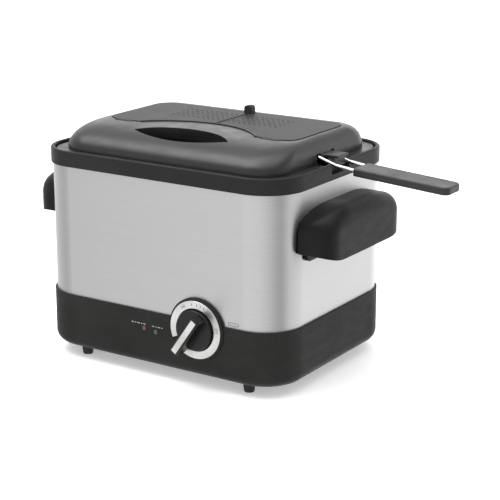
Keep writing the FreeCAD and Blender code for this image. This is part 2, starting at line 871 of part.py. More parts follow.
def lamp_holder():
    start = lamp_front() + lamp_length - lamp_seat
    low_x = light_red_x - holder_margin
    high_x = light_green_x + holder_margin
    low_z = light_green_z - holder_margin
    holder = box_between(low_x, high_x, start, start + holder_depth, low_z, light_red_z + holder_margin)
    cuts = []
    for x, z in ((light_red_x, light_red_z), (light_green_x, light_green_z)):
        cuts.append(rod(lamp_radius, V(x, start - past, z), Y_AXIS, lamp_seat + past))
    wall = -body_half_y + base_wall
    arm = box_between(low_x, high_x, wall, start + holder_depth, low_z - holder_thickness, low_z)
    return holder.fuse(arm).cut(cuts)


def power_inlet():
    face = body_half_y
    half_w = inlet_width / 2.0
    half_h = inlet_height / 2.0
    box = box_between(inlet_x - half_w, inlet_x + half_w, face - inlet_depth, face,
                      inlet_z - half_h, inlet_z + half_h)
    flange = box_between(inlet_x - half_w - inlet_flange, inlet_x + half_w + inlet_flange, face,
                         face + inlet_flange_thickness,
                         inlet_z - half_h - inlet_flange_side, inlet_z + half_h + inlet_flange_side)
    flange = fillet_edges(flange, inlet_corner_round, lambda b: b.YLength > inlet_flange_thickness - 0.01
                          and b.XLength < 0.01 and b.ZLength < 0.01)
    socket = box_between(inlet_x - half_w + inlet_wall, inlet_x + half_w - inlet_wall,
                         face - inlet_depth + inlet_wall, face + inlet_flange_thickness + past,
                         inlet_z - half_h + inlet_wall, inlet_z + half_h - inlet_wall)
    cuts = [socket]
    for side in (1, -1):
        at = V(inlet_x + side * contact_spacing / 2.0, face - inlet_depth - past, inlet_z)
        cuts.append(rod(contact_radius, at, Y_AXIS, inlet_wall + 2.0 * past))
        hole = V(inlet_x + side * (half_w + inlet_flange / 2.0), face - past, inlet_z)
        cuts.append(rod(inlet_hole_radius, hole, Y_AXIS, inlet_flange_thickness + 2.0 * past))
    return box.fuse(flange).cut(cuts)


def inlet_contacts():
    parts = []
    for side in (1, -1):
        at = V(inlet_x + side * contact_spacing / 2.0, contact_back, inlet_z)
        pin = rod(contact_radius, at, Y_AXIS, contact_length + contact_tail)
        end = contact_back + contact_length + contact_tail
        parts.append(fillet_edges(pin, contact_round, lambda b: b.YMin > end - 0.01))
    return Part.makeCompound(parts)


def terminal_block():
    low = foot_height + plate_recess_depth
    block = box_between(block_x - block_length / 2.0, block_x + block_length / 2.0,
                        block_y - block_width / 2.0, block_y + block_width / 2.0, low, low + block_height)
    cuts = []
    for i in range(3):
        x = block_x + (i - 1) * block_pitch
        for side in (1, -1):
            mouth = V(x, block_y + side * (block_width / 2.0 + past), block_hole_z)
            cuts.append(rod(lead_radius + slip, mouth, Y_AXIS * -side, block_hole_depth + past))
        screw_well = V(x, block_y, low + block_height - block_screw_depth)
        cuts.append(rod(block_screw_radius, screw_well, Z_AXIS, block_screw_depth + past))
    return block.cut(cuts)


def lead_between(points):
    return tube_along(points, lead_bend, lead_radius)


def supply_leads():
    """Two leads from the inlet contacts to the terminal block."""
    rear = block_y + block_width / 2.0
    parts = []
    for side in (1, -1):
        x = inlet_x + side * contact_spacing / 2.0
        parts.append(lead_between([
            V(x, contact_back, inlet_z),
            V(x, contact_back - supply_run, inlet_z),
            V(block_x + side * block_pitch, rear + supply_turn, block_hole_z),
            V(block_x + side * block_pitch, rear - lead_entry, block_hole_z),
        ]))
    return Part.makeCompound(parts)


def element_lead():
    left = -element_half_x - element_tail
    x = block_x - block_pitch
    front = block_y - block_width / 2.0
    return lead_between([
        V(left, -terminal_gap, terminal_bottom),
        V(left, -terminal_gap, terminal_bottom - element_lead_fall),
        V(x, front - element_lead_turn, block_hole_z),
        V(x, front + lead_entry, block_hole_z),
    ])


def thermostat_lead():
    back = -thermostat_back() + thermostat_depth
    start = V(dial_x - thermostat_lead_x, back, dial_z - thermostat_lead_z)
    x = block_x + block_pitch
    front = block_y - block_width / 2.0
    return lead_between([
        start,
        start + Y_AXIS * thermostat_lead_run,
        V(x, front - thermostat_lead_turn, block_hole_z),
        V(x, front + lead_entry, block_hole_z),
    ])


def fuse_lead():
    left = -element_half_x - element_tail
    z = bowl_underside - fuse_radius
    low = terminal_bottom - fuse_lead_drop
    return lead_between([
        V(fuse_x, fuse_length / 2.0 + fuse_tail, z),
        V(fuse_x, fuse_lead_y, z),
        V(fuse_x, fuse_lead_y, low),
        V(left, terminal_gap, low),
        V(left, terminal_gap, terminal_bottom),
    ])


# ---------------------------------------------------------------- side handles

def handle_section(y, inset):
    """Outline of a handle across its length: flat against the body, rounded at its outer top edge."""
    half = handle_half_length - inset
    corner = handle_corner - inset
    turn = max(0.0, abs(y) - (half - corner))
    reach = handle_reach - inset - corner + math.sqrt(max(0.0, corner * corner - turn * turn))
    crown = max(0.0, abs(y) - handle_crown_half)
    end_round = handle_end_round - inset
    fall = max(0.0, abs(y) - (half - end_round))
    top = handle_top - inset - crown * crown / (2.0 * handle_crown_radius)
    top -= end_round - math.sqrt(max(0.0, end_round * end_round - fall * fall))
    sole = max(0.0, abs(y) - handle_sole_half)
    low = handle_bottom + sole * sole / (2.0 * handle_sole_radius)
    if inset:
        low = handle_bottom - handle_boss_radius
    r = min(handle_top_round - inset, 0.7 * reach)
    k = r * (1.0 - math.sqrt(0.5))
    outer = handle_x + reach
    a = V(handle_x, y, low)
    b = V(outer, y, low)
    c = V(outer, y, top - r)
    d = V(outer - k, y, top - k)
    e = V(outer - r, y, top)
    f = V(handle_x, y, top)
    return Part.Wire([
        Part.makeLine(a, b),
        Part.makeLine(b, c),
        Part.Arc(c, d, e).toShape(),
        Part.makeLine(e, f),
        Part.makeLine(f, a),
    ])


def handle_hood(inset):
    """Solid hood through sections set closer together towards its two ends."""
    half = handle_half_length - inset
    sections = []
    for i in range(handle_sections):
        angle = math.pi * i / (handle_sections - 1)
        sections.append(handle_section(-half * math.cos(angle), inset))
    return Part.makeLoft(sections, True, False)


def side_handle_right():
    hood = handle_hood(0.0)
    hollow = handle_hood(handle_wall)
    keep = box_between(handle_x + handle_wall, handle_x + handle_keep, -body_half_y, body_half_y,
                       0.0, lid_top)
    body = hood.cut(hollow.common(keep))
    plate = box_between(handle_x, handle_x + handle_wall, -handle_plate_half, handle_plate_half,
                        handle_bottom - handle_plate_drop, handle_plate_top)
    plate = fillet_edges(plate, handle_plate_corner,
                         lambda b: b.ZMax < handle_bottom and b.ZLength < 0.01 and b.YLength < 0.01)
    adds = [plate]
    cuts = []
    for sy in (1, -1):
        at = V(handle_x, sy * handle_screw_y, handle_screw_z)
        adds.append(rod(handle_boss_radius, at, X_AXIS, handle_boss_length))
        cuts.append(rod(screw_shank_radius + slip, at, X_AXIS, handle_boss_length - screw_end_wall))
    return body.fuse(adds).cut(cuts)


def mirrored(shape):
    return shape.mirror(V(0, 0, 0), X_AXIS)


def handle_screws(side):
    parts = []
    for sy in (1, -1):
        x = side * (sleeve_half_x - sleeve_wall - screw_head_height)
        head = V(x, sy * handle_screw_y, handle_screw_z)
        parts.append(slotted_screw(head, X_AXIS * side, handle_screw_length))
    return Part.makeCompound(parts)


# ---------------------------------------------------------------- lid

def lid_sections(inset):
    """Outlines of the dome: (height, half x, front y, rear y, corner), drawn in by inset."""
    rows = []
    rise = lid_top - groove_floor - part_gap
    for share in (0.0, 0.2, 0.42, 0.62, 0.78, 0.88, 0.94, 0.98, 1.0):
        draw = 1.0 - math.sqrt(max(0.0, 1.0 - share ** lid_roundness))
        z = groove_floor + part_gap + share * (rise - inset)
        half_x = lid_base_half_x - lid_draw_x * draw - inset
        front = -lid_base_half_y + lid_draw_front * draw + inset
        rear = lid_base_half_y - lid_draw_rear * draw - inset
        rows.append((z, half_x, front, rear, lid_base_radius - lid_draw_radius * draw - inset))
    return rows


def dome(inset):
    wires = []
    for z, half_x, front, rear, corner in lid_sections(inset):
        wires.append(rounded_wire(half_x, (rear - front) / 2.0, corner, z, (rear + front) / 2.0))
    return Part.makeLoft(wires, True, False)


def lens_prism(widen, low, high):
    """Lens-shaped prism: two arcs that meet at the tips of the finger recess."""
    left = V(-recess_half_length - widen, recess_tip_y, low)
    right = V(recess_half_length + widen, recess_tip_y, low)
    back = Part.Arc(left, V(0, recess_back_y + widen, low), right).toShape()
    front = Part.Arc(right, V(0, recess_front_y - widen, low), left).toShape()
    return Part.Face(Part.Wire([back, front])).extrude(V(0, 0, high - low))


def cover_outline(z, grow):
    """Outline of the filter cover: straight front with an arched bay round the finger recess."""
    half = cover_half_x + grow
    rear = cover_rear + grow
    front = cover_front - grow
    r = cover_corner
    k = r * (1.0 - math.sqrt(0.5))
    bay = cover_arc_half - grow
    crown = cover_arc_back - grow
    edges = [
        Part.makeLine(V(half, front + r, z), V(half, rear - r, z)),
        Part.Arc(V(half, rear - r, z), V(half - k, rear - k, z), V(half - r, rear, z)).toShape(),
        Part.makeLine(V(half - r, rear, z), V(-half + r, rear, z)),
        Part.Arc(V(-half + r, rear, z), V(-half + k, rear - k, z), V(-half, rear - r, z)).toShape(),
        Part.makeLine(V(-half, rear - r, z), V(-half, front + r, z)),
        Part.Arc(V(-half, front + r, z), V(-half + k, front + k, z), V(-half + r, front, z)).toShape(),
        Part.makeLine(V(-half + r, front, z), V(-bay, front, z)),
        Part.Arc(V(-bay, front, z), V(0, crown, z), V(bay, front, z)).toShape(),
        Part.makeLine(V(bay, front, z), V(half - r, front, z)),
        Part.Arc(V(half - r, front, z), V(half - k, front + k, z), V(half, front + r, z)).toShape(),
    ]
    return Part.Wire(edges)


def cover_prism(low, high, grow):
    return Part.Face(cover_outline(low, grow)).extrude(V(0, 0, high - low))


def well_box(grow, low, high):
    half = well_half_x + grow
    return box_between(-half, half, well_front - grow, well_rear + grow, low, high)


def barrel_left(side):
    """Left end of the hinge barrel on one side."""
    return barrel_start if side > 0 else -barrel_start - barrel_length


def well_bottom():
    return pocket_floor - well_depth


def lid_shell():
    outer = dome(0.0)
    flange_low = groove_floor + part_gap
    flange = rounded_prism(lid_base_half_x + lid_flange_width, lid_base_half_y + lid_flange_width,
                           lid_base_radius, flange_low, flange_low + lid_flange_thickness)
    outer = outer.fuse(flange)
    inner = dome(lid_wall)
    shell = outer.cut(inner)
    deck_low = pocket_floor - lid_deck
    cup_low = recess_floor - recess_wall
    cup = lens_prism(recess_wall, cup_low, lid_top - past)
    cup = cup.fuse(lens_prism(recess_undercut + recess_wall, cup_low, recess_undercut_top))
    well = well_box(well_wall, well_bottom(), pocket_floor)
    deck = cover_prism(deck_low, pocket_floor, deck_grow).fuse([cup, well])
    posts = []
    for sx, sy in signs():
        at = V(sx * post_x, sy * post_y, liner_bottom + liner_thickness)
        posts.append(rod(post_radius, at, Z_AXIS, lid_top - at.z))
    inside = deck.fuse(posts).common(inner)
    body = shell.fuse(inside)
    cuts = [
        cover_prism(pocket_floor, cover_top + past, cover_gap),
        lens_prism(0.0, recess_floor, lid_top + past),
        lens_prism(recess_undercut, recess_floor, recess_undercut_top - recess_wall),
        well_box(0.0, well_bottom() + well_floor, pocket_floor + past),
    ]
    for x in spaced(-well_half_x + well_slot_margin, well_half_x - well_slot_margin, well_slot_pitch):
        cuts.append(box_between(x - well_slot_width / 2.0, x + well_slot_width / 2.0,
                                well_front + well_slot_margin, well_rear - well_slot_margin,
                                well_bottom() - past, well_bottom() + well_floor + slip))
    for side in (1, -1):
        x0 = barrel_left(side)
        cuts.append(box_between(x0 - part_gap, x0 + barrel_length + part_gap,
                                hinge_y - barrel_radius - barrel_room, cover_front,
                                hinge_z - barrel_radius - cover_gap, cover_top + past))
        pin_start = V(x0 - hinge_pin_extra - part_gap, hinge_y, hinge_z)
        cuts.append(rod(hinge_pin_radius + running_clearance, pin_start, X_AXIS,
                        barrel_length + 2.0 * (hinge_pin_extra + part_gap)))
    for sx, sy in signs():
        at = V(sx * post_x, sy * post_y, liner_bottom)
        cuts.append(rod(screw_shank_radius + slip, at, Z_AXIS, post_hole_depth))
    cuts.append(box_between(lid_base_half_x - gate_reach, lid_base_half_x + gate_reach,
                            -notch_half_width, notch_half_width, flange_low - past, wire_gate_top))
    body = body.cut(cuts)
    tab = box_between(lid_base_half_x - tab_root, lid_tab_outer, -lug_half_width, lug_half_width,
                      tab_top - tab_thickness, tab_top)
    tab = fillet_edges(tab, lug_edge_round, lambda b: b.ZMin > tab_top - 0.01)
    lug = box_between(lug_inner, body_half_x - lug_front_back, -lug_half_width, lug_half_width,
                      groove_floor + lug_lift, tab_top - tab_thickness)
    bridge = box_between(lid_base_half_x - tab_root, lid_base_half_x + past, -lug_half_width, lug_half_width,
                         tab_top - tab_thickness, wire_gate_top + cover_gap)
    return body.fuse([tab, lug, bridge.common(outer)])


def lid_liner():
    plate = rounded_prism(liner_half_x, liner_half_y, lid_base_radius - 6.0,
                          liner_bottom, liner_bottom + liner_thickness)
    cuts = []
    for x in spaced(-well_half_x + well_slot_margin, well_half_x - well_slot_margin, liner_slot_pitch):
        cuts.append(box_between(x - liner_slot_width / 2.0, x + liner_slot_width / 2.0,
                                well_front + well_slot_margin, well_rear - well_slot_margin,
                                liner_bottom, liner_bottom + liner_thickness))
    for sx, sy in signs():
        at = V(sx * post_x, sy * post_y, liner_bottom)
        cuts.append(rod(screw_shank_radius + slip, at, Z_AXIS, liner_thickness))
    return plate.cut(cuts)


def liner_screws():
    parts = []
    for sx, sy in signs():
        at = V(sx * post_x, sy * post_y, liner_bottom - screw_head_height)
        parts.append(slotted_screw(at, Z_AXIS, liner_screw_length))
    return Part.makeCompound(parts)


def grease_filter():
    low = well_bottom() + well_floor
    half = well_half_x - filter_gap
    sheet = box_between(-half, half, well_front + filter_gap, well_rear - filter_gap,
                        low, low + grease_thickness)
    cuts = []
    hole = grease_hole / 2.0
    for x in spaced(-half + grease_margin, half - grease_margin, grease_pitch):
        for y in spaced(well_front + grease_margin, well_rear - grease_margin, grease_pitch):
            cuts.append(box_between(x - hole, x + hole, y - hole, y + hole, low, low + grease_thickness))
    return sheet.cut(Part.makeCompound(cuts))


def charcoal_filter():
    low = well_bottom() + well_floor + grease_thickness
    half = well_half_x - filter_gap
    pad = box_between(-half, half, well_front + filter_gap, well_rear - filter_gap,
                      low, low + charcoal_thickness)
    return fillet_edges(pad, charcoal_edge_round, lambda b: b.ZMin > low + charcoal_thickness - 0.01)


def filter_cover():
    plate = cover_prism(pocket_floor + part_gap, cover_top, 0.0)
    adds = []
    cuts = []
    for side in (1, -1):
        x0 = barrel_left(side)
        adds.append(rod(barrel_radius, V(x0, hinge_y, hinge_z), X_AXIS, barrel_length))
        adds.append(box_between(x0, x0 + barrel_length, hinge_y, cover_front + slip,
                                pocket_floor + part_gap, cover_top - slip))
        cuts.append(rod(hinge_pin_radius, V(x0 - past, hinge_y, hinge_z), X_AXIS, barrel_length + 2.0 * past))
    rib = box_between(-bead_width / 2.0, bead_width / 2.0, cover_arc_back + bead_front_gap,
                      tab_y - tab_depth / 2.0, cover_top, cover_top + bead_height)
    finger = box_between(-tab_width / 2.0, tab_width / 2.0, tab_y - tab_depth / 2.0, tab_y + tab_depth / 2.0,
                         cover_top - cover_gap, cover_top + tab_height)
    finger = fillet_edges(finger, tab_round,
                          lambda b: b.ZMin > cover_top + tab_height - 0.01 and b.YLength > 1.0)
    adds.extend([rib, finger])
    for x in spaced(-well_half_x + well_slot_margin, well_half_x - well_slot_margin, cover_slot_pitch_x):
        for y in spaced(well_front + well_slot_margin, tab_y - tab_depth, cover_slot_pitch_y):
            if abs(x) > bead_width:
                cuts.append(box_between(x - cover_slot_width / 2.0, x + cover_slot_width / 2.0,
                                        y - cover_slot_length / 2.0, y + cover_slot_length / 2.0,
                                        pocket_floor, cover_top + past))
    return plate.fuse(adds).cut(cuts)


def hinge_pins():
    parts = []
    for side in (1, -1):
        x0 = barrel_left(side)
        parts.append(rod(hinge_pin_radius, V(x0 - hinge_pin_extra, hinge_y, hinge_z), X_AXIS,
                         barrel_length + 2.0 * hinge_pin_extra))
    return Part.makeCompound(parts)


# ---------------------------------------------------------------- basket

def basket_solid(inset, low):
    top = rounded_wire(basket_half_x - inset, basket_half_y - inset, basket_corner - inset, basket_top)
    bottom = rounded_wire(basket_low_half_x - inset, basket_low_half_y - inset, basket_corner - inset, low)
    body = Part.makeLoft([bottom, top], True, True)
    return fillet_edges(body, basket_bend_radius - inset, lambda b: b.ZMax < low + 0.01)


def basket_sheet_shell():
    body = basket_solid(0.0, basket_bottom)
    return body.cut(basket_solid(basket_sheet, basket_bottom + basket_sheet))


def flat_floor(low, high):
    """Block over the level part of the basket's floor."""
    return rounded_prism(basket_low_half_x - basket_bend_radius, basket_low_half_y - basket_bend_radius,
                         basket_corner - basket_bend_radius, low, high)


def basket_floor():
    plate = flat_floor(basket_bottom, basket_bottom + basket_sheet)
    half = mesh_hole / 2.0
    cuts = []
    for x in spaced(-panel_half_x, panel_half_x, mesh_pitch):
        for y in spaced(-panel_half_y - mesh_pitch / 2.0, panel_half_y + mesh_pitch / 2.0, mesh_pitch):
            cuts.append(box_between(x - half, x + half, y - half, y + half,
                                    basket_bottom - past, basket_bottom + basket_sheet + past))
    return plate.cut(Part.makeCompound(cuts))


def basket_bend():
    """Rounded strip between the floor and the walls."""
    top = basket_bottom + basket_bend_radius
    band = box_between(-basket_half_x, basket_half_x, -basket_half_y, basket_half_y, basket_bottom, top)
    strip = basket_sheet_shell().common(band)
    return strip.cut(flat_floor(basket_bottom - past, top + past))


def basket_wall_zone(side_x, side_y):
    """Block round one wall or one corner of the basket, above the bend."""
    def span(side, inner, outer):
        if side > 0:
            return inner, outer
        if side < 0:
            return -outer, -inner
        return -inner, inner
    x0, x1 = span(side_x, panel_half_x, basket_half_x + past)
    y0, y1 = span(side_y, panel_half_y, basket_half_y + past)
    return box_between(x0, x1, y0, y1, basket_bottom + basket_bend_radius, basket_top)


def basket_wall(side_x, side_y):
    """One wall of the basket: a sheet with rows of square holes."""
    wall = basket_sheet_shell().common(basket_wall_zone(side_x, side_y))
    half = mesh_hole / 2.0
    reach = panel_half_x if side_y else panel_half_y
    cuts = []
    for z in spaced(basket_bottom + basket_plain_low, basket_top - basket_plain_high, mesh_pitch):
        for u in spaced(-reach, reach, mesh_pitch):
            if side_y:
                cuts.append(box_between(u - half, u + half, -body_half_y, body_half_y, z - half, z + half))
            else:
                cuts.append(box_between(-body_half_x, body_half_x, u - half, u + half, z - half, z + half))
    return wall.cut(Part.makeCompound(cuts))


def basket_corners():
    shell = basket_sheet_shell()
    return Part.makeCompound([shell.common(basket_wall_zone(sx, sy)) for sx, sy in signs()])


def basket_rim():
    z = basket_top + rim_wire_radius
    half_x = basket_half_x - basket_rim_inset
    half_y = basket_half_y - basket_rim_inset
    return loop_of_wire(half_x, half_y, basket_corner, z, rim_wire_radius)


def basket_bracket():
    inner = basket_half_x + rim_wire_radius
    outer = inner + bracket_thickness
    top = basket_top + 2.0 * rim_wire_radius
    half = bracket_half_width
    plate = box_between(inner, outer, -half, half, bracket_bottom, top)
    hook = box_between(basket_half_x - bracket_hook, outer, -half, half, top, top + bracket_thickness)
    return plate.fuse(hook)


def wire_points(y):
    end_x = grip_end - wire_end_gap
    x = basket_half_x + rim_wire_radius + bracket_thickness + handle_wire_radius
    return [
        V(x, y, handle_wire_drop),
        V(x, y, handle_wire_peak),
        V(wire_saddle_x, y, wire_saddle_z),
        V(grip_start + grip_entry, y, grip_top_start - wire_depth + grip_slope * grip_entry),
        V(end_x, y, grip_top_start - wire_depth + grip_slope * (end_x - grip_start)),
    ]


def basket_wires():
    parts = []
    for side in (1, -1):
        parts.append(tube_along(wire_points(side * handle_wire_y), wire_bend, handle_wire_radius))
    foot_end = V(wire_points(0)[0].x, -handle_wire_y, handle_wire_drop)
    bar = rod(handle_wire_radius, foot_end, Y_AXIS, 2.0 * handle_wire_y)
    return parts[0].fuse([parts[1], bar])


def basket_grip():
    profile = [
        V(grip_start, 0, grip_top_start),
        V(grip_end, 0, grip_top_end),
        V(grip_end, 0, grip_top_end - grip_thickness),
        V(grip_start, 0, grip_top_start - grip_thickness),
    ]
    face = Part.Face(Part.makePolygon(profile + [profile[0]]))
    face.translate(V(0, -grip_half_width, 0))
    body = face.extrude(V(0, 2.0 * grip_half_width, 0))
    tip = [e for e in body.Edges if e.BoundBox.XMin > grip_end - 0.01 and e.BoundBox.YLength < 0.01]
    body = body.makeFillet(grip_tip_radius, tip)
    long_edges = [e for e in body.Edges if e.BoundBox.XLength > 1.0 or e.BoundBox.XMin > grip_end - 0.6]
    body = body.makeFillet(grip_edge_round, long_edges)
    cuts = []
    for side in (1, -1):
        route = wire_points(side * handle_wire_y)[2:]
        cuts.append(tube_along(route, wire_bend, handle_wire_radius + wire_slip))
    return body.cut(cuts)


# ---------------------------------------------------------------- write the files

nodes = {
    "base_housing": base_housing,
    "bottom_plate": bottom_plate,
    "plate_screws": plate_screws,
    "foot_front_right": lambda: foot(1, -1),
    "foot_front_left": lambda: foot(-1, -1),
    "foot_rear_right": lambda: foot(1, 1),
    "foot_rear_left": lambda: foot(-1, 1),
    "steel_sleeve": steel_sleeve,
    "rim_collar": rim_collar,
    "bowl": bowl,
    "heating_element": heating_element,
    "heat_shield": heat_shield,
    "sensor_bulb": sensor_bulb,
    "thermal_fuse": thermal_fuse,
    "holding_clips": holding_clips,
    "dial_ring": dial_ring,
    "knob_body": knob_body,
    "knob_inlay": knob_inlay,
    "thermostat_shaft": thermostat_shaft,
    "thermostat_body": thermostat_body,
    "thermostat_plate": thermostat_plate_part,
    "lens_red": lambda: indicator_lens(light_red_x, light_red_z),
    "lens_green": lambda: indicator_lens(light_green_x, light_green_z),
    "lamp_red": lambda: indicator_lamp(light_red_x, light_red_z),
    "lamp_green": lambda: indicator_lamp(light_green_x, light_green_z),
    "lamp_holder": lamp_holder,
    "power_inlet": power_inlet,
    "inlet_contacts": inlet_contacts,
    "terminal_block": terminal_block,
    "supply_leads": supply_leads,
    "element_lead": element_lead,
    "thermostat_lead": thermostat_lead,
    "fuse_lead": fuse_lead,
    "side_handle_right": side_handle_right,
    "side_handle_left": lambda: mirrored(side_handle_right()),
    "handle_screws_right": lambda: handle_screws(1),
    "handle_screws_left": lambda: handle_screws(-1),
    "lid_shell": lid_shell,
    "lid_liner": lid_liner,
    "liner_screws": liner_screws,
    "grease_filter": grease_filter,
    "charcoal_filter": charcoal_filter,
    "filter_cover": filter_cover,
    "hinge_pins": hinge_pins,
    "basket_floor": basket_floor,
    "basket_bend": basket_bend,
    "basket_wall_front": lambda: basket_wall(0, -1),
    "basket_wall_rear": lambda: basket_wall(0, 1),
    "basket_wall_right": lambda: basket_wall(1, 0),
    "basket_wall_left": lambda: basket_wall(-1, 0),
    "basket_corners": basket_corners,
    "basket_rim": basket_rim,
    "basket_bracket": basket_bracket,
    "basket_wires": basket_wires,
    "basket_grip": basket_grip,
}

os.makedirs("parts", exist_ok=True)
for node_name, make in nodes.items():
    make().exportStep("parts/" + node_name + ".step")
    print("wrote", node_name)
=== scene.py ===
import json
import math

import bpy
import numpy as np
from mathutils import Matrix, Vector


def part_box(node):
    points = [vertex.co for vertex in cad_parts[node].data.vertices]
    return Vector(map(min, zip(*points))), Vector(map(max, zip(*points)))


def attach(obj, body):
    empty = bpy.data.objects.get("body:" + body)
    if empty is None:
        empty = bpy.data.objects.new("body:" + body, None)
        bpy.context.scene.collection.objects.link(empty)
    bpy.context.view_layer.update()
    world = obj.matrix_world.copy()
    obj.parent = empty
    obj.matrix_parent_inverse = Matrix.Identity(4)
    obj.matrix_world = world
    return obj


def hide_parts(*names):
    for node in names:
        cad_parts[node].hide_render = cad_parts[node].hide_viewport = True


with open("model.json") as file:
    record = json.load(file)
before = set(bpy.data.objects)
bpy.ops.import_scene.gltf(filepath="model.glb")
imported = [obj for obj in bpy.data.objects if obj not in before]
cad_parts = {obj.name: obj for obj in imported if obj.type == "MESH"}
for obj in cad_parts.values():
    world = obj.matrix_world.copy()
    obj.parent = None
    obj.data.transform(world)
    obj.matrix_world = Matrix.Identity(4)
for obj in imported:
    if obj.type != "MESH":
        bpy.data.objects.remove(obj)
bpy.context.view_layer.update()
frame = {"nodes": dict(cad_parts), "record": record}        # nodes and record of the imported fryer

nodes = frame["nodes"]
mm = 0.001        # the settings of the pieces are in millimetres
print("frame loaded:", len(nodes), "nodes")


# where things are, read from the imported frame
ringLow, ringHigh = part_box("dial_ring")
dialX = (ringLow.x + ringHigh.x) / 2
dialZ = (ringLow.z + ringHigh.z) / 2
ringFace = ringLow.y
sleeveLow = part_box("steel_sleeve")[0]
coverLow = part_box("filter_cover")[0]
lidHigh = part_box("lid_shell")[1]
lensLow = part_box("lens_red")[0]
meshLow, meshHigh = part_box("basket_corners")        # the basket's box, down to its floor
meshLow.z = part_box("basket_floor")[0].z


# shader maths as plain expressions: a wire is one output socket of a finish's nodes
class Wire:
    def __init__(self, finish, socket):
        self.finish = finish
        self.socket = socket

    def calc(self, operation, *others):
        links = {0: self}
        for place, other in enumerate(others):
            links[place + 1] = other
        return self.finish.add("ShaderNodeMath", {"operation": operation}, links)

    def __add__(self, other):
        return self.calc("ADD", other)

    __radd__ = __add__

    def __sub__(self, other):
        return self.calc("SUBTRACT", other)

    def __rsub__(self, other):
        return self.finish.add("ShaderNodeMath", {"operation": "SUBTRACT"}, {0: other, 1: self})

    def __mul__(self, other):
        return self.calc("MULTIPLY", other)

    __rmul__ = __mul__

    def clip(self):
        return self.finish.add("ShaderNodeClamp", {}, {0: self})


noiseLow, noiseHigh = 0.3, 0.7        # where most of a noise's values lie


class Tree:
    def __init__(self, tree, shader):
        self.tree = tree
        self.shader = tree.nodes[shader]

    def add(self, kind, settings, links, out=0):
        node = self.tree.nodes.new(kind)
        for key, value in settings.items():
            if key == "stops":
                ramp = node.color_ramp
                while len(ramp.elements) < len(value):
                    ramp.elements.new(0.5)
                for element, (place, colour) in zip(ramp.elements, value):
                    element.position = place
                    element.color = colour
            else:
                setattr(node, key, value)
        for key, value in links.items():
            if isinstance(value, Wire):
                self.tree.links.new(value.socket, node.inputs[key])
            else:
                node.inputs[key].default_value = value
        return Wire(self, node.outputs[out])

    def feed(self, name, wire):
        self.tree.links.new(wire.socket, self.shader.inputs[name])

    def axis(self, where, name):
        return self.add("ShaderNodeSeparateXYZ", {}, {"Vector": where}, name)

    def noise(self, where, size, detail=3.0, rough=0.55):
        links = {"Vector": where, "Scale": size, "Detail": detail, "Roughness": rough}
        return self.add("ShaderNodeTexNoise", {}, links, "Fac")

    def between(self, value, low=noiseLow, high=noiseHigh, toLow=0.0, toHigh=1.0):
        links = {"Value": value, "From Min": low, "From Max": high, "To Min": toLow, "To Max": toHigh}
        return self.add("ShaderNodeMapRange", {}, links)

    def blend(self, mask, first, second):
        return self.add("ShaderNodeMix", {"data_type": "RGBA"}, {0: mask, 6: first, 7: second}, 2)


class Finish(Tree):
    def __init__(self, name, **constants):
        self.material = bpy.data.materials.new(name)
        self.material.use_nodes = True
        super().__init__(self.material.node_tree, "Principled BSDF")
        for key, value in constants.items():
            self.shader.inputs[key.replace("_", " ")].default_value = value

    def spot(self, scale=(1, 1, 1), turn=(0, 0, 0)):
        where = self.add("ShaderNodeTexCoord", {}, {}, "Object")
        return self.add("ShaderNodeMapping", {}, {"Vector": where, "Scale": scale, "Rotation": turn})

    def tint(self, mask, first, second):
        self.feed("Base Color", self.blend(mask, first, second))

    def roughen(self, value, low, high):
        self.feed("Roughness", self.between(value, toLow=low, toHigh=high))

    def bump(self, height, depth, strength=1.0):
        normal = self.add("ShaderNodeBump", {}, {"Height": height, "Distance": depth, "Strength": strength})
        self.feed("Normal", normal)


def grey(level, warm=0.0):
    return (level * (1 + warm), level, level * (1 - warm), 1.0)


# moulded plastic: fine grain, broad patches of tone and smudges of gloss
mould = {"broad": 22.0, "smudge": 60.0, "smudgeStretch": (1, 1, 3), "broadShare": 0.7, "fineShare": 0.3,
         "smoother": 0.06, "rougher": 0.08}


def mouldedPlastic(name, level, rough, grain=900.0, grainDepth=0.00006, warm=0.0, wear=0.25, shine=0.4):
    f = Finish(name, Specular_IOR_Level=shine)
    where = f.spot()
    fine = f.noise(where, grain, 2.0)
    broad = f.noise(where, mould["broad"], 4.0)
    smudge = f.noise(f.spot(mould["smudgeStretch"]), mould["smudge"], 5.0, 0.65)
    tone = f.between(broad * mould["broadShare"] + fine * mould["fineShare"])
    f.tint(tone, grey(level * (1 - wear), warm), grey(level * (1 + wear), warm))
    f.roughen(smudge, rough - mould["smoother"], rough + mould["rougher"])
    f.bump(fine, grainDepth)
    return f.material


# brushed steel: long level streaks, coarse and fine, under a cloudy gloss
brush = {"level": 0.52, "dark": 0.9, "light": 1.08, "warmDark": 0.004, "rough": 0.34, "roughSwing": 0.06,
         "across": (14.0, 14.0, 2600.0), "finer": (4, 4, 2.2), "coarseShare": 0.6, "fineShare": 0.4,
         "cloud": 9.0, "cloudStretch": (1, 1, 2), "cloudSwing": 0.08, "depth": 0.00003, "strength": 0.7}


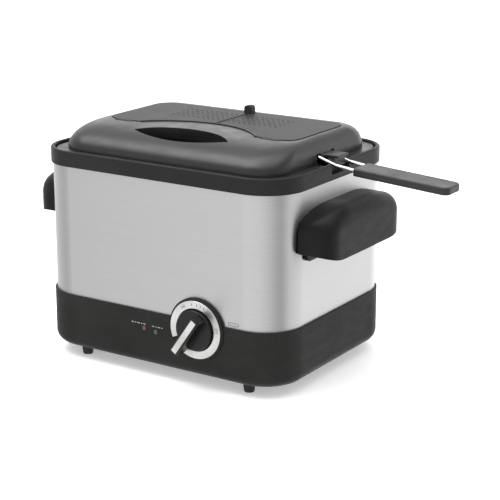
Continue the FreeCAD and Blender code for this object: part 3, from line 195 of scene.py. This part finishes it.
def brushedSteel(name):
    f = Finish(name, Metallic=1.0, Anisotropic=0.75, Anisotropic_Rotation=0.25)
    finer = tuple(size * times for size, times in zip(brush["across"], brush["finer"]))
    streak = f.noise(f.spot(brush["across"]), 1.0, 4.0, 0.7)
    fineStreak = f.noise(f.spot(finer), 1.0, 2.0, 0.6)
    cloud = f.noise(f.spot(brush["cloudStretch"]), brush["cloud"], 3.0)
    lines = streak * brush["coarseShare"] + fineStreak * brush["fineShare"]
    level, rough, swing = brush["level"], brush["rough"], brush["roughSwing"]
    f.tint(f.between(lines), grey(level * brush["dark"], brush["warmDark"]), grey(level * brush["light"]))
    dullness = f.between(lines, toLow=rough - swing, toHigh=rough + swing)
    f.feed("Roughness", (dullness + (cloud - 0.5) * brush["cloudSwing"]).clip())
    f.bump(lines, brush["depth"], brush["strength"])
    return f.material


# plain metal: dull patches, and fine scratches that all run one way
metal = {"fine": 700.0, "patch": 45.0, "patchRange": (0.35, 0.7), "dull": 0.78,
         "scratchStretch": (2500, 60, 60), "scratchSwing": 0.12, "smoother": 0.07, "rougher": 0.1,
         "fineShare": 0.6, "scratchShare": 0.4, "depth": 0.00002}


def plainMetal(name, colour, rough, scratch=0.5, metallic=1.0):
    f = Finish(name, Metallic=metallic)
    fine = f.noise(f.spot(), metal["fine"], 3.0)
    patch = f.noise(f.spot(), metal["patch"], 4.0, 0.6)
    line = f.noise(f.spot(metal["scratchStretch"]), 1.0, 3.0, 0.7)
    dull = tuple(c * metal["dull"] for c in colour[:3]) + (1.0,)
    f.tint(f.between(patch, *metal["patchRange"]), colour, dull)
    dullness = f.between(patch, toLow=rough - metal["smoother"], toHigh=rough + metal["rougher"])
    f.feed("Roughness", (dullness + (line - 0.5) * metal["scratchSwing"] * scratch).clip())
    f.bump(fine * metal["fineShare"] + line * metal["scratchShare"], metal["depth"] * (1 + scratch))
    return f.material


# woven look of the filter cover: height = sin(2 pi x / pitch) * sin(2 pi y / pitch), with painted shade darkening
# the hollows and the crowns painted lighter
panel = {"pitch": 0.0017, "fine": 1500.0, "broad": 30.0, "hollowShadeRange": (-0.6, 0.6), "hollowShadeShare": 0.7,
         "broadShare": 0.3, "dark": 0.45, "light": 1.5, "warm": -0.02, "smoother": 0.05, "rougher": 0.07,
         "depth": 0.00010}


def wovenPanel(name, level, rough):
    f = Finish(name, Specular_IOR_Level=0.3)
    where = f.spot()
    turns = 2 * math.pi / panel["pitch"]
    weave = (f.axis(where, "X") * turns).calc("SINE") * (f.axis(where, "Y") * turns).calc("SINE")
    fine = f.noise(where, panel["fine"], 2.0)
    broad = f.noise(where, panel["broad"], 4.0)
    # painted shade: the tone follows the weave's height, dark in the hollows and light on the crowns, mixed with
    # random broad tone
    tone = f.between(weave, *panel["hollowShadeRange"]) * panel["hollowShadeShare"] + broad * panel["broadShare"]
    f.tint(tone, grey(level * panel["dark"], panel["warm"]), grey(level * panel["light"], panel["warm"]))
    f.roughen(fine, rough - panel["smoother"], rough + panel["rougher"])
    f.bump(weave * 0.8 + fine * 0.2, panel["depth"])
    return f.material


# ribbed lens of an indicator lamp, darker between its ribs
lens = {"ribs": 1500.0, "ribRange": (0.1, 0.6), "dark": 0.55, "depth": 0.00004}


def clearLens(name, colour):
    f = Finish(name, Roughness=0.12, Coat_Weight=0.6, Specular_IOR_Level=0.6)
    rib = f.add("ShaderNodeTexVoronoi", {}, {"Vector": f.spot(), "Scale": lens["ribs"]}, "Distance")
    dark = tuple(c * lens["dark"] for c in colour[:3]) + (1.0,)
    f.tint(f.between(rib, *lens["ribRange"]), colour, dark)
    f.bump(rib, lens["depth"])
    return f.material


rubber = {"grain": 1400.0, "dust": 160.0, "dustRange": (0.5, 0.8), "depth": 0.00008}


def rubberFeet(name):
    f = Finish(name, Specular_IOR_Level=0.3)
    fine = f.noise(f.spot(), rubber["grain"], 3.0)
    dust = f.noise(f.spot(), rubber["dust"], 5.0, 0.7)
    f.tint(f.between(dust, *rubber["dustRange"]), grey(0.018), grey(0.06, 0.03))
    f.feed("Roughness", f.between(dust, 0.3, 0.8, 0.62, 0.85))
    f.bump(fine, rubber["depth"])
    return f.material


sleeving = {"weave": 1800.0, "turn": (0.6, 0.6, 0.6), "fuzz": 2500.0, "depth": 0.00012}


def wovenSleeving(name):
    f = Finish(name, Sheen_Weight=0.3, Specular_IOR_Level=0.25)
    turned = f.spot(turn=sleeving["turn"])
    weave = f.add("ShaderNodeTexChecker", {}, {"Vector": turned, "Scale": sleeving["weave"]}, "Fac")
    fuzz = f.noise(f.spot(), sleeving["fuzz"], 3.0)
    f.tint(weave * 0.6 + fuzz * 0.4, grey(0.42, 0.06), grey(0.68, 0.05))
    f.roughen(fuzz, 0.7, 0.92)
    f.bump(weave * 0.5 + fuzz * 0.5, sleeving["depth"])
    return f.material


felt = {"fuzz": 1100.0, "lump": 130.0, "depth": 0.0006}


def feltPad(name):
    f = Finish(name, Specular_IOR_Level=0.15)
    fuzz = f.noise(f.spot(), felt["fuzz"], 6.0, 0.75)
    lump = f.noise(f.spot(), felt["lump"], 3.0)
    f.tint(fuzz, grey(0.01), grey(0.05))
    f.roughen(lump, 0.85, 0.98)
    f.bump(fuzz * 0.6 + lump * 0.4, felt["depth"])
    return f.material


speckled = {"speck": 2200.0, "speckRange": (0.35, 0.7), "fade": 0.7, "fadeTo": 0.02, "depth": 0.00001}


def printedInk(name, level):
    f = Finish(name, Specular_IOR_Level=0.3)
    speck = f.noise(f.spot(), speckled["speck"], 3.0)
    faded = grey(level * speckled["fade"] + speckled["fadeTo"])
    f.tint(f.between(speck, *speckled["speckRange"]), grey(level), faded)
    f.roughen(speck, 0.45, 0.6)
    f.bump(speck, speckled["depth"])
    return f.material


sheath = {"blotch": 90.0, "grain": 900.0, "dark": (0.2, 0.17, 0.15, 1), "light": (0.42, 0.33, 0.26, 1),
          "depth": 0.00005}


def heatedSheath(name):
    f = Finish(name, Metallic=1.0)
    blotch = f.noise(f.spot(), sheath["blotch"], 5.0, 0.65)
    fine = f.noise(f.spot(), sheath["grain"], 3.0)
    f.tint(f.between(blotch), sheath["dark"], sheath["light"])
    f.roughen(blotch, 0.38, 0.6)
    f.bump(fine, sheath["depth"])
    return f.material


# one finish for each material slot of the record
finishes = {
    "body_plastic": mouldedPlastic("basePlastic", 0.018, 0.5, warm=0.03, shine=0.1),
    "rim_plastic": mouldedPlastic("rimPlastic", 0.016, 0.4, shine=0.14),
    "handle_plastic": mouldedPlastic("handlePlastic", 0.006, 0.42, shine=0.16),
    "lid_plastic": mouldedPlastic("lidPlastic", 0.010, 0.36, warm=-0.04, shine=0.5),
    "cover_plastic": wovenPanel("coverPlastic", 0.024, 0.5),
    "knob_plastic": mouldedPlastic("knobPlastic", 0.008, 0.35, shine=0.3),
    "grip_plastic": mouldedPlastic("gripPlastic", 0.014, 0.40, shine=0.45),
    "holder_plastic": mouldedPlastic("holderPlastic", 0.55, 0.5, warm=0.04, wear=0.1),
    "inlet_plastic": mouldedPlastic("inletPlastic", 0.018, 0.45),
    "thermostat_case": mouldedPlastic("thermostatCase", 0.06, 0.5, warm=0.35),
    "foot_rubber": rubberFeet("footRubber"),
    "steel_brushed": brushedSteel("sleeveSteel"),
    "plate_steel": mouldedPlastic("plateCoating", 0.05, 0.45, grain=500.0, grainDepth=0.0001),
    "bowl_coating": mouldedPlastic("bowlCoating", 0.035, 0.3, grain=1600.0, grainDepth=0.00004),
    "silver_trim": plainMetal("silverTrim", (0.74, 0.75, 0.73, 1), 0.32, 0.3),
    "bright_wire": plainMetal("brightWire", (0.8, 0.8, 0.79, 1), 0.18, 0.3),
    "bracket_steel": plainMetal("bracketSteel", (0.66, 0.66, 0.65, 1), 0.3, 0.8),
    "zinc_screw": plainMetal("zincScrew", (0.62, 0.61, 0.57, 1), 0.35, 0.8),
    "element_sheath": heatedSheath("elementSheath"),
    "shield_aluminium": plainMetal("shieldAluminium", (0.76, 0.77, 0.78, 1), 0.38, 0.9),
    "sensor_copper": plainMetal("sensorCopper", (0.78, 0.45, 0.3, 1), 0.33, 0.5),
    "fuse_case": plainMetal("fuseCase", (0.7, 0.7, 0.72, 1), 0.3, 0.4),
    "contact_brass": plainMetal("contactBrass", (0.8, 0.63, 0.32, 1), 0.28, 0.5),
    "liner_metal": plainMetal("linerMetal", (0.6, 0.6, 0.61, 1), 0.36, 0.9),
    "grease_mesh": plainMetal("greaseMesh", (0.66, 0.66, 0.67, 1), 0.4, 0.7),
    "lens_red": clearLens("redLens", (0.10, 0.012, 0.01, 1)),
    "lens_green": clearLens("greenLens", (0.012, 0.05, 0.018, 1)),
    "lamp_glass": plainMetal("lampGlass", (0.75, 0.7, 0.65, 1), 0.15, 0.2, metallic=0.0),
    "lead_sleeving": wovenSleeving("leadSleeving"),
    "charcoal_pad": feltPad("charcoalPad"),
}
for entry in frame["record"]["subparts"]:
    data = nodes[entry["node"]].data
    data.materials.clear()
    data.materials.append(finishes[entry["material_slot"]])
print("finishes made:", len(finishes))


# mesh building
def surface(name, verts, faces, material, body, smooth=True):
    mesh = bpy.data.meshes.new(name)
    count = len(faces)
    corners = faces.shape[1]
    mesh.vertices.add(len(verts))
    mesh.vertices.foreach_set("co", np.asarray(verts, np.float32).ravel())
    mesh.loops.add(count * corners)
    mesh.loops.foreach_set("vertex_index", np.asarray(faces, np.int32).ravel())
    mesh.polygons.add(count)
    mesh.polygons.foreach_set("loop_start", np.arange(0, count * corners, corners, dtype=np.int32))
    mesh.polygons.foreach_set("loop_total", np.full(count, corners, np.int32))
    mesh.polygons.foreach_set("use_smooth", np.full(count, smooth))
    mesh.update(calc_edges=True)
    mesh.materials.append(material)
    obj = bpy.data.objects.new(name, mesh)
    bpy.context.scene.collection.objects.link(obj)
    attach(obj, body)
    return obj


# faces of an n by m grid of points; a closed direction joins its last row to its first
def gridFaces(n, m, closeU=False, closeV=False):
    u = np.arange(n if closeU else n - 1)
    v = np.arange(m if closeV else m - 1)
    uu, vv = np.meshgrid(u, v, indexing="ij")
    a = uu * m + vv
    b = ((uu + 1) % n) * m + vv
    c = ((uu + 1) % n) * m + (vv + 1) % m
    d = uu * m + (vv + 1) % m
    return np.stack([a, b, c, d], -1).reshape(-1, 4)


# tubes: each path point carries a circle, side * cos(t) + lift * sin(t), square to the path;
# paths is (wires, points, 3); gives points, quads and the triangles that close the ends
def tubes(paths, radius, sides, up=(0.0, 0.0, 1.0), closed=False):
    wires, count, _ = paths.shape
    if closed:
        ahead = np.roll(paths, -1, 1) - np.roll(paths, 1, 1)
    else:
        ahead = np.gradient(paths, axis=1)
    ahead /= np.linalg.norm(ahead, axis=2, keepdims=True)
    side = np.cross(ahead, np.asarray(up, float))
    side /= np.linalg.norm(side, axis=2, keepdims=True)
    lift = np.cross(side, ahead)
    turn = np.linspace(0, 2 * np.pi, sides, endpoint=False)[:, None]
    ring = side[:, :, None, :] * np.cos(turn) + lift[:, :, None, :] * np.sin(turn)
    points = (paths[:, :, None, :] + radius * ring).reshape(-1, 3)
    faces = gridFaces(count, sides, closed, True)[:, ::-1]
    step = count * sides
    quads = (faces[None] + (np.arange(wires) * step)[:, None, None]).reshape(-1, 4)
    if closed:
        return points, quads, np.zeros((0, 3), int)
    k = np.arange(sides)
    j = (k + 1) % sides
    w = np.arange(wires)[:, None]
    first = wires * step + w        # the centre points stand after all the rings
    last = w * step + (count - 1) * sides
    startCap = np.stack(np.broadcast_arrays(w * step + k, w * step + j, first), -1)
    endCap = np.stack(np.broadcast_arrays(last + j, last + k, first + wires), -1)
    caps = np.concatenate([startCap, endCap]).reshape(-1, 3)
    return np.concatenate([points, paths[:, 0], paths[:, -1]]), quads, caps


# a point at share s (0 to 1) of the way round a rounded rectangle, from the middle of its right side
def roundedOutline(halfX, halfY, corner, s):
    halfX, halfY, corner, s = np.broadcast_arrays(halfX, halfY, corner, s)
    straightX = 2 * (halfX - corner)
    straightY = 2 * (halfY - corner)
    arc = np.pi / 2 * corner
    total = 2 * straightX + 2 * straightY + 4 * arc
    d = (s % 1.0) * total + straightY / 2
    lengths = [straightY, arc, straightX, arc, straightY, arc, straightX, arc]
    x = np.zeros(d.shape)
    y = np.zeros(d.shape)
    starts = np.cumsum([np.zeros(d.shape)] + lengths, axis=0)
    d = np.where(d >= total, d - total, d)
    cornersAt = [(1, 1), (-1, 1), (-1, -1), (1, -1)]
    for i, length in enumerate(lengths):
        inside = (d >= starts[i]) & (d <= starts[i + 1] + 1e-12)
        along = d - starts[i]
        quarter = i // 2
        if i % 2 == 0:
            px = [halfX, halfX - corner - along, -halfX, -halfX + corner + along][quarter]
            py = [-halfY + corner + along, halfY, halfY - corner - along, -halfY][quarter]
        else:
            angle = quarter * np.pi / 2 + along / np.maximum(corner, 1e-9)
            sx, sy = cornersAt[quarter]
            px = sx * (halfX - corner) + corner * np.cos(angle)
            py = sy * (halfY - corner) + corner * np.sin(angle)
        x = np.where(inside, px, x)
        y = np.where(inside, py, y)
    return x, y


# woven basket: upright wires weave in and out of level loops by a small offset,
# offset = weave * cos(pi * count along the other wires), opposite on neighbours
cage = {"pitch": 6.0, "wire": 0.45, "weave": 0.4, "corner": 20.0, "taper": 6.0, "floorRound": 8.0, "sides": 6,
        "cornerCut": 30.0, "bendSteps": 6, "uprightSide": (0.31, 0.95, 0.05)}


def cageOutline(z, inset, s):
    share = (z - meshLow.z) / (meshHigh.z - meshLow.z)
    narrow = cage["taper"] * mm * (1 - share) + inset
    halfX = (meshHigh.x - meshLow.x) / 2 - narrow
    halfY = (meshHigh.y - meshLow.y) / 2 - narrow
    return roundedOutline(halfX, halfY, cage["corner"] * mm - inset, s)


def uprightWires(rest, around, rows, floorTop):
    wire, weave, pitch, bend = (cage[key] * mm for key in ("wire", "weave", "pitch", "floorRound"))
    up = np.linspace(meshHigh.z - wire, floorTop, 2 * rows)
    turn = np.linspace(0, np.pi / 2, cage["bendSteps"] + 1)[1:]
    z = np.concatenate([up, floorTop - (bend - rest) * np.sin(turn)])
    fold = np.concatenate([np.zeros(up.size), (bend - rest) * (1 - np.cos(turn))])
    swing = np.concatenate([np.cos(np.pi * (up - floorTop) / pitch), np.zeros(turn.size)])
    share = np.arange(around)[:, None] / around
    side = (-1.0) ** np.arange(around)[:, None]
    x, y = cageOutline(z[None], rest + fold[None] + weave * side * swing[None], share)
    path = np.stack([x, y, np.broadcast_to(z, x.shape)], -1)
    return tubes(path, wire, cage["sides"], cage["uprightSide"])


def levelLoops(rest, around, rows, floorTop):
    share = np.arange(2 * around)[None] / (2 * around)
    heights = floorTop + cage["pitch"] * mm * np.arange(rows)[:, None]
    side = -((-1.0) ** np.arange(rows)[:, None])
    x, y = cageOutline(heights, rest + cage["weave"] * mm * side * np.cos(np.pi * share * around), share)
    path = np.stack([x, y, np.broadcast_to(heights, x.shape)], -1)
    return tubes(path, cage["wire"] * mm, cage["sides"], closed=True)


# floor wires along x (way 0) or y (way 1), each cut short where it nears a rounded corner
def floorWires(rest, way):
    pitch, weave, bend = cage["pitch"] * mm, cage["weave"] * mm, cage["floorRound"] * mm
    halves = [(meshHigh.x - meshLow.x) / 2, (meshHigh.y - meshLow.y) / 2]
    halfA, halfB = (halves[k] - cage["taper"] * mm - bend for k in (way, 1 - way))
    corner = (cage["corner"] - cage["floorRound"]) * mm
    places = np.arange(-int(halfB / pitch), int(halfB / pitch) + 1) * pitch
    cut = np.maximum(0, np.abs(places) - (halfB - corner))
    reach = halfA - corner + np.sqrt(np.maximum(0, corner ** 2 - cut ** 2))
    run = reach[:, None] * np.linspace(-1, 1, 2 * int(2 * halfA / pitch))[None]
    side = (-1.0) ** (np.arange(places.size) + way)[:, None]
    lift = meshLow.z + rest + weave * np.cos(np.pi * run / pitch) * side
    across = np.broadcast_to(places[:, None], run.shape)
    path = [run, across, lift] if way == 0 else [across, run, lift]
    return tubes(np.stack(path, -1), cage["wire"] * mm, cage["sides"])


def basketWires(material):
    rest = (cage["wire"] + cage["weave"]) * mm
    pitch = cage["pitch"] * mm
    floorTop = meshLow.z + cage["floorRound"] * mm
    rows = int((meshHigh.z - floorTop) / pitch)
    halfRound = meshHigh.x - meshLow.x + meshHigh.y - meshLow.y - cage["cornerCut"] * mm
    around = 2 * round(halfRound / pitch)        # an even number, so that the weave closes
    groups = [uprightWires(rest, around, rows, floorTop), levelLoops(rest, around, rows, floorTop),
              floorWires(rest, 0), floorWires(rest, 1)]
    triangles, base = [], 0
    for points, quads, caps in groups:
        triangles.append(np.concatenate([quads[:, [0, 1, 2]], quads[:, [0, 2, 3]], caps]) + base)
        base += len(points)
    verts = np.concatenate([group[0] for group in groups])
    faces = np.concatenate(triangles)
    obj = surface("basket_wire_mesh", verts, faces, material, "basket")
    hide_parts("basket_floor", "basket_bend", "basket_corners", "basket_wall_front", "basket_wall_rear",
                "basket_wall_right", "basket_wall_left")
    print("basket wires made:", len(faces), "triangles")


basketWires(finishes["bright_wire"])


# numbers and heat marks round the dial ring, each at its clock angle in degrees
dial = {"radius": 20.6, "size": 3.1, "thick": 0.02, "raise": 0.02, "numbers": [(327, "250"), (82, "375")],
        "ticks": [352, 5, 15, 24], "tickInner": 19.6, "tickOuter": 21.6, "tickWidth": 0.55}


def flatText(word):
    curve = bpy.data.curves.new("figure" + word, "FONT")
    curve.body = word
    curve.size = dial["size"] * mm
    curve.align_x = "CENTER"
    curve.align_y = "CENTER"
    curve.extrude = dial["thick"] * mm
    holder = bpy.data.objects.new("figure" + word, curve)
    bpy.context.scene.collection.objects.link(holder)
    dg = bpy.context.evaluated_depsgraph_get()
    mesh = bpy.data.meshes.new_from_object(holder.evaluated_get(dg))
    co = np.zeros(len(mesh.vertices) * 3)
    mesh.vertices.foreach_get("co", co)
    bpy.data.objects.remove(holder)
    return mesh, co.reshape(-1, 3)


def dialNumbers(ink):
    for angle, word in dial["numbers"]:
        mesh, co = flatText(word)
        turn = math.radians(angle)
        right = np.array([math.cos(turn), 0, -math.sin(turn)])
        outward = np.array([math.sin(turn), 0, math.cos(turn)])
        face = np.array([0.0, -1.0, 0.0])
        middle = np.array([dialX, ringFace, dialZ])
        centre = middle + outward * dial["radius"] * mm + face * dial["raise"] * mm
        placed = centre + co[:, :1] * right + co[:, 1:2] * outward + co[:, 2:] * face
        mesh.vertices.foreach_set("co", placed.astype(np.float32).ravel())
        mesh.update()
        mesh.materials.clear()
        mesh.materials.append(ink)
        obj = bpy.data.objects.new("dial_number_" + word, mesh)
        bpy.context.scene.collection.objects.link(obj)
        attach(obj, "body")


# a flat printed patch: an outline given in the plane of the front face, filled from its middle,
# or, where a second outline of as many points is its hole, the band between the two
def printedPatch(name, outline, y, ink, hole=None):
    outer = np.asarray(outline, float)
    count = len(outer)
    k = np.arange(count)
    if hole is None:
        flat = np.concatenate([outer, outer.mean(0)[None]])
        faces = np.stack([k, (k + 1) % count, np.full(count, count)], -1)
    else:
        flat = np.concatenate([outer, np.asarray(hole, float)])
        faces = gridFaces(2, count, False, True)[:, ::-1]
    verts = np.stack([flat[:, 0], np.full(len(flat), y), flat[:, 1]], -1)
    surface(name, verts, faces, ink, "body", False)


# a bar with round ends
def pillOutline(x, z, halfLength, halfHeight, count=24):
    turn = np.linspace(0, 2 * np.pi, count, endpoint=False) + np.pi / count
    shift = np.where(np.cos(turn) > 0, halfLength - halfHeight, halfHeight - halfLength)
    return np.stack([x + shift + halfHeight * np.cos(turn), z + halfHeight * np.sin(turn)], -1)


# dashes above the two lights, each group as (x of its left end, z, lengths), and a small pill on
# the steel beside the dial, as (x, z, half length, half height)
marks = {"gap": 0.9, "half": 0.45, "raise": 0.03, "lensProud": 0.9,
         "first": [-22.0, 43.9, (2.4, 1.6, 2.8, 1.4, 2.4)],
         "second": [-1.4, 43.4, (2.2, 1.4, 2.6, 1.6)], "pill": (76.3, 58.6, 5.0, 1.35), "pillLine": 0.4}


def printedMarks(pale, dark):
    face = lensLow.y + (marks["lensProud"] - marks["raise"]) * mm
    for group in ("first", "second"):
        x, z, lengths = marks[group]
        for i, length in enumerate(lengths):
            outline = pillOutline((x + length / 2) * mm, z * mm, length / 2 * mm, marks["half"] * mm)
            printedPatch("mark_" + group + "_" + str(i), outline, face, pale)
            x += length + marks["gap"]
    x, z, halfLength, halfHeight = marks["pill"]
    line = marks["pillLine"]
    face = sleeveLow.y - marks["raise"] * mm
    printedPatch("pill_outline", pillOutline(x * mm, z * mm, halfLength * mm, halfHeight * mm), face, dark,
                 pillOutline(x * mm, z * mm, (halfLength - line) * mm, (halfHeight - line) * mm))


def dialTicks(ink):
    centre = np.array([dialX, dialZ])
    inner, outer, half = dial["tickInner"] * mm, dial["tickOuter"] * mm, dial["tickWidth"] / 2 * mm
    for angle in dial["ticks"]:
        turn = math.radians(angle)
        right = np.array([math.cos(turn), -math.sin(turn)])
        outward = np.array([math.sin(turn), math.cos(turn)])
        outline = [centre + outward * reach + right * aside
                   for reach, aside in ((inner, half), (outer, half), (outer, -half), (inner, -half))]
        printedPatch("dial_tick_" + str(angle), outline, ringFace - dial["raise"] * mm, ink)


darkInk = printedInk("darkInk", 0.06)
paleInk = printedInk("paleInk", 0.3)
dialNumbers(darkInk)
dialTicks(darkInk)
printedMarks(paleInk, darkInk)
print("printing made")


# raised bead along the arched front edge of the filter cover: a flattened half tube on a circle
bead = {"width": 1.5, "height": 0.55, "arcHalf": 56.0, "inset": 1.1, "points": 49, "profile": 9,
        "proud": 0.5, "frontGap": 3.5, "arch": 25.0}


def coverBead(material):
    halfWidth, height = bead["width"] / 2 * mm, bead["height"] * mm
    plateTop = lidHigh.z + bead["proud"] * mm
    front = coverLow.y + bead["frontGap"] * mm
    rise = bead["arch"] * mm
    half = bead["arcHalf"] * mm
    # circle through the two ends and the crown of the arch
    radius = (half ** 2 + rise ** 2) / (2 * rise)
    middle = front + rise - radius
    spread = math.asin(half / radius)
    turn = np.linspace(-spread, spread, bead["points"])[:, None]
    profile = np.linspace(0, np.pi, bead["profile"])
    across = radius + bead["inset"] * mm + halfWidth * np.cos(profile)
    x = np.sin(turn) * across
    y = middle + np.cos(turn) * across
    z = plateTop + np.broadcast_to(height * np.sin(profile), x.shape)
    verts = np.stack([x, y, z], -1).reshape(-1, 3)
    faces = gridFaces(bead["points"], bead["profile"])
    surface("cover_bead", verts, faces, material, "filter_cover")


coverBead(finishes["lid_plastic"])
print("cover bead made")


# camera, light and floor
cameraAt = {"place": (0.6970, -1.0159, 0.4393), "aim": (0.0342, 0.0, 0.0911), "lens": 109.5, "sensor": 36.0,
            "near": 0.05, "far": 50.0}


def facing(place, aim):
    return (Vector(aim) - Vector(place)).to_track_quat("-Z", "Y").to_euler()


def addCamera():
    data = bpy.data.cameras.new("camera")
    data.lens = cameraAt["lens"]
    data.sensor_width = cameraAt["sensor"]
    data.clip_start = cameraAt["near"]
    data.clip_end = cameraAt["far"]
    cam = bpy.data.objects.new("camera", data)
    bpy.context.scene.collection.objects.link(cam)
    cam.location = cameraAt["place"]
    cam.rotation_euler = facing(cameraAt["place"], cameraAt["aim"])
    bpy.context.scene.camera = cam


topBox = {"place": (-0.5, -0.2, 1.2), "aim": (0, 0, 0.1), "size": (1.0, 0.8), "power": 8}


def softLight(name, box):
    data = bpy.data.lights.new(name, "AREA")
    data.shape = "RECTANGLE"
    data.size, data.size_y = box["size"]
    data.energy = box["power"]
    lamp = bpy.data.objects.new(name, data)
    bpy.context.scene.collection.objects.link(lamp)
    lamp.location = box["place"]
    lamp.rotation_euler = facing(box["place"], box["aim"])


# the floor gives a little light of its own, and the steel doesn't mirror it
floorPaint = {"half": 6.0, "patch": 3.0, "dark": 0.90, "light": 0.93, "rough": 0.8, "glow": 0.35}


def paleFloor():
    half = floorPaint["half"]
    mesh = bpy.data.meshes.new("floor")
    corners = [(-half, -half, 0), (half, -half, 0), (half, half, 0), (-half, half, 0)]
    mesh.from_pydata(corners, [], [(0, 1, 2, 3)])
    f = Finish("floorPaint", Specular_IOR_Level=0.1, Roughness=floorPaint["rough"],
               Emission_Color=grey(1.0), Emission_Strength=floorPaint["glow"])
    f.tint(f.noise(f.spot(), floorPaint["patch"]), grey(floorPaint["dark"]), grey(floorPaint["light"]))
    mesh.materials.append(f.material)
    floor = bpy.data.objects.new("floor", mesh)
    bpy.context.scene.collection.objects.link(floor)
    floor.visible_glossy = False


# brightness of the studio by direction: a ring of (degrees from straight ahead of the front, level)
# near the horizon, a darker middle, and a bright ceiling; heights are shares of straight up
sky = {"strength": 2.0, "middle": 0.34, "middleFrom": (0.32, 0.5),
       "overhead": 1.35, "overheadFrom": (0.76, 0.92),
       "ring": [(-180, 0.80), (-146, 0.95), (-120, 0.55), (-80, 0.42), (-56, 0.36), (-42, 0.47), (-37, 0.59),
                (-20, 0.60), (19, 0.57), (48, 0.45), (60, 0.36), (76, 0.30), (88, 0.41), (102, 0.55),
                (130, 0.62), (146, 0.66), (153, 0.74), (180, 0.82)]}


def studioWorld():
    world = bpy.data.worlds.new("studio")
    world.use_nodes = True
    bpy.context.scene.world = world
    w = Tree(world.node_tree, "Background")
    where = w.add("ShaderNodeTexCoord", {}, {}, "Generated")
    heading = w.axis(where, "X").calc("ARCTAN2", w.axis(where, "Y") * -1.0)
    stops = [((angle + 180) / 360, grey(level)) for angle, level in sky["ring"]]
    turned = w.between(heading, -math.pi, math.pi)
    around = w.add("ShaderNodeValToRGB", {"stops": stops}, {"Fac": turned})
    height = w.axis(where, "Z")
    middle = w.blend(w.between(height, *sky["middleFrom"]), around, grey(sky["middle"]))
    w.feed("Color", w.blend(w.between(height, *sky["overheadFrom"]), middle, grey(sky["overhead"])))
    w.shader.inputs["Strength"].default_value = sky["strength"]


addCamera()
paleFloor()
studioWorld()
softLight("topBox", topBox)
bpy.context.scene.view_settings.view_transform = "Standard"
print("studio ready")
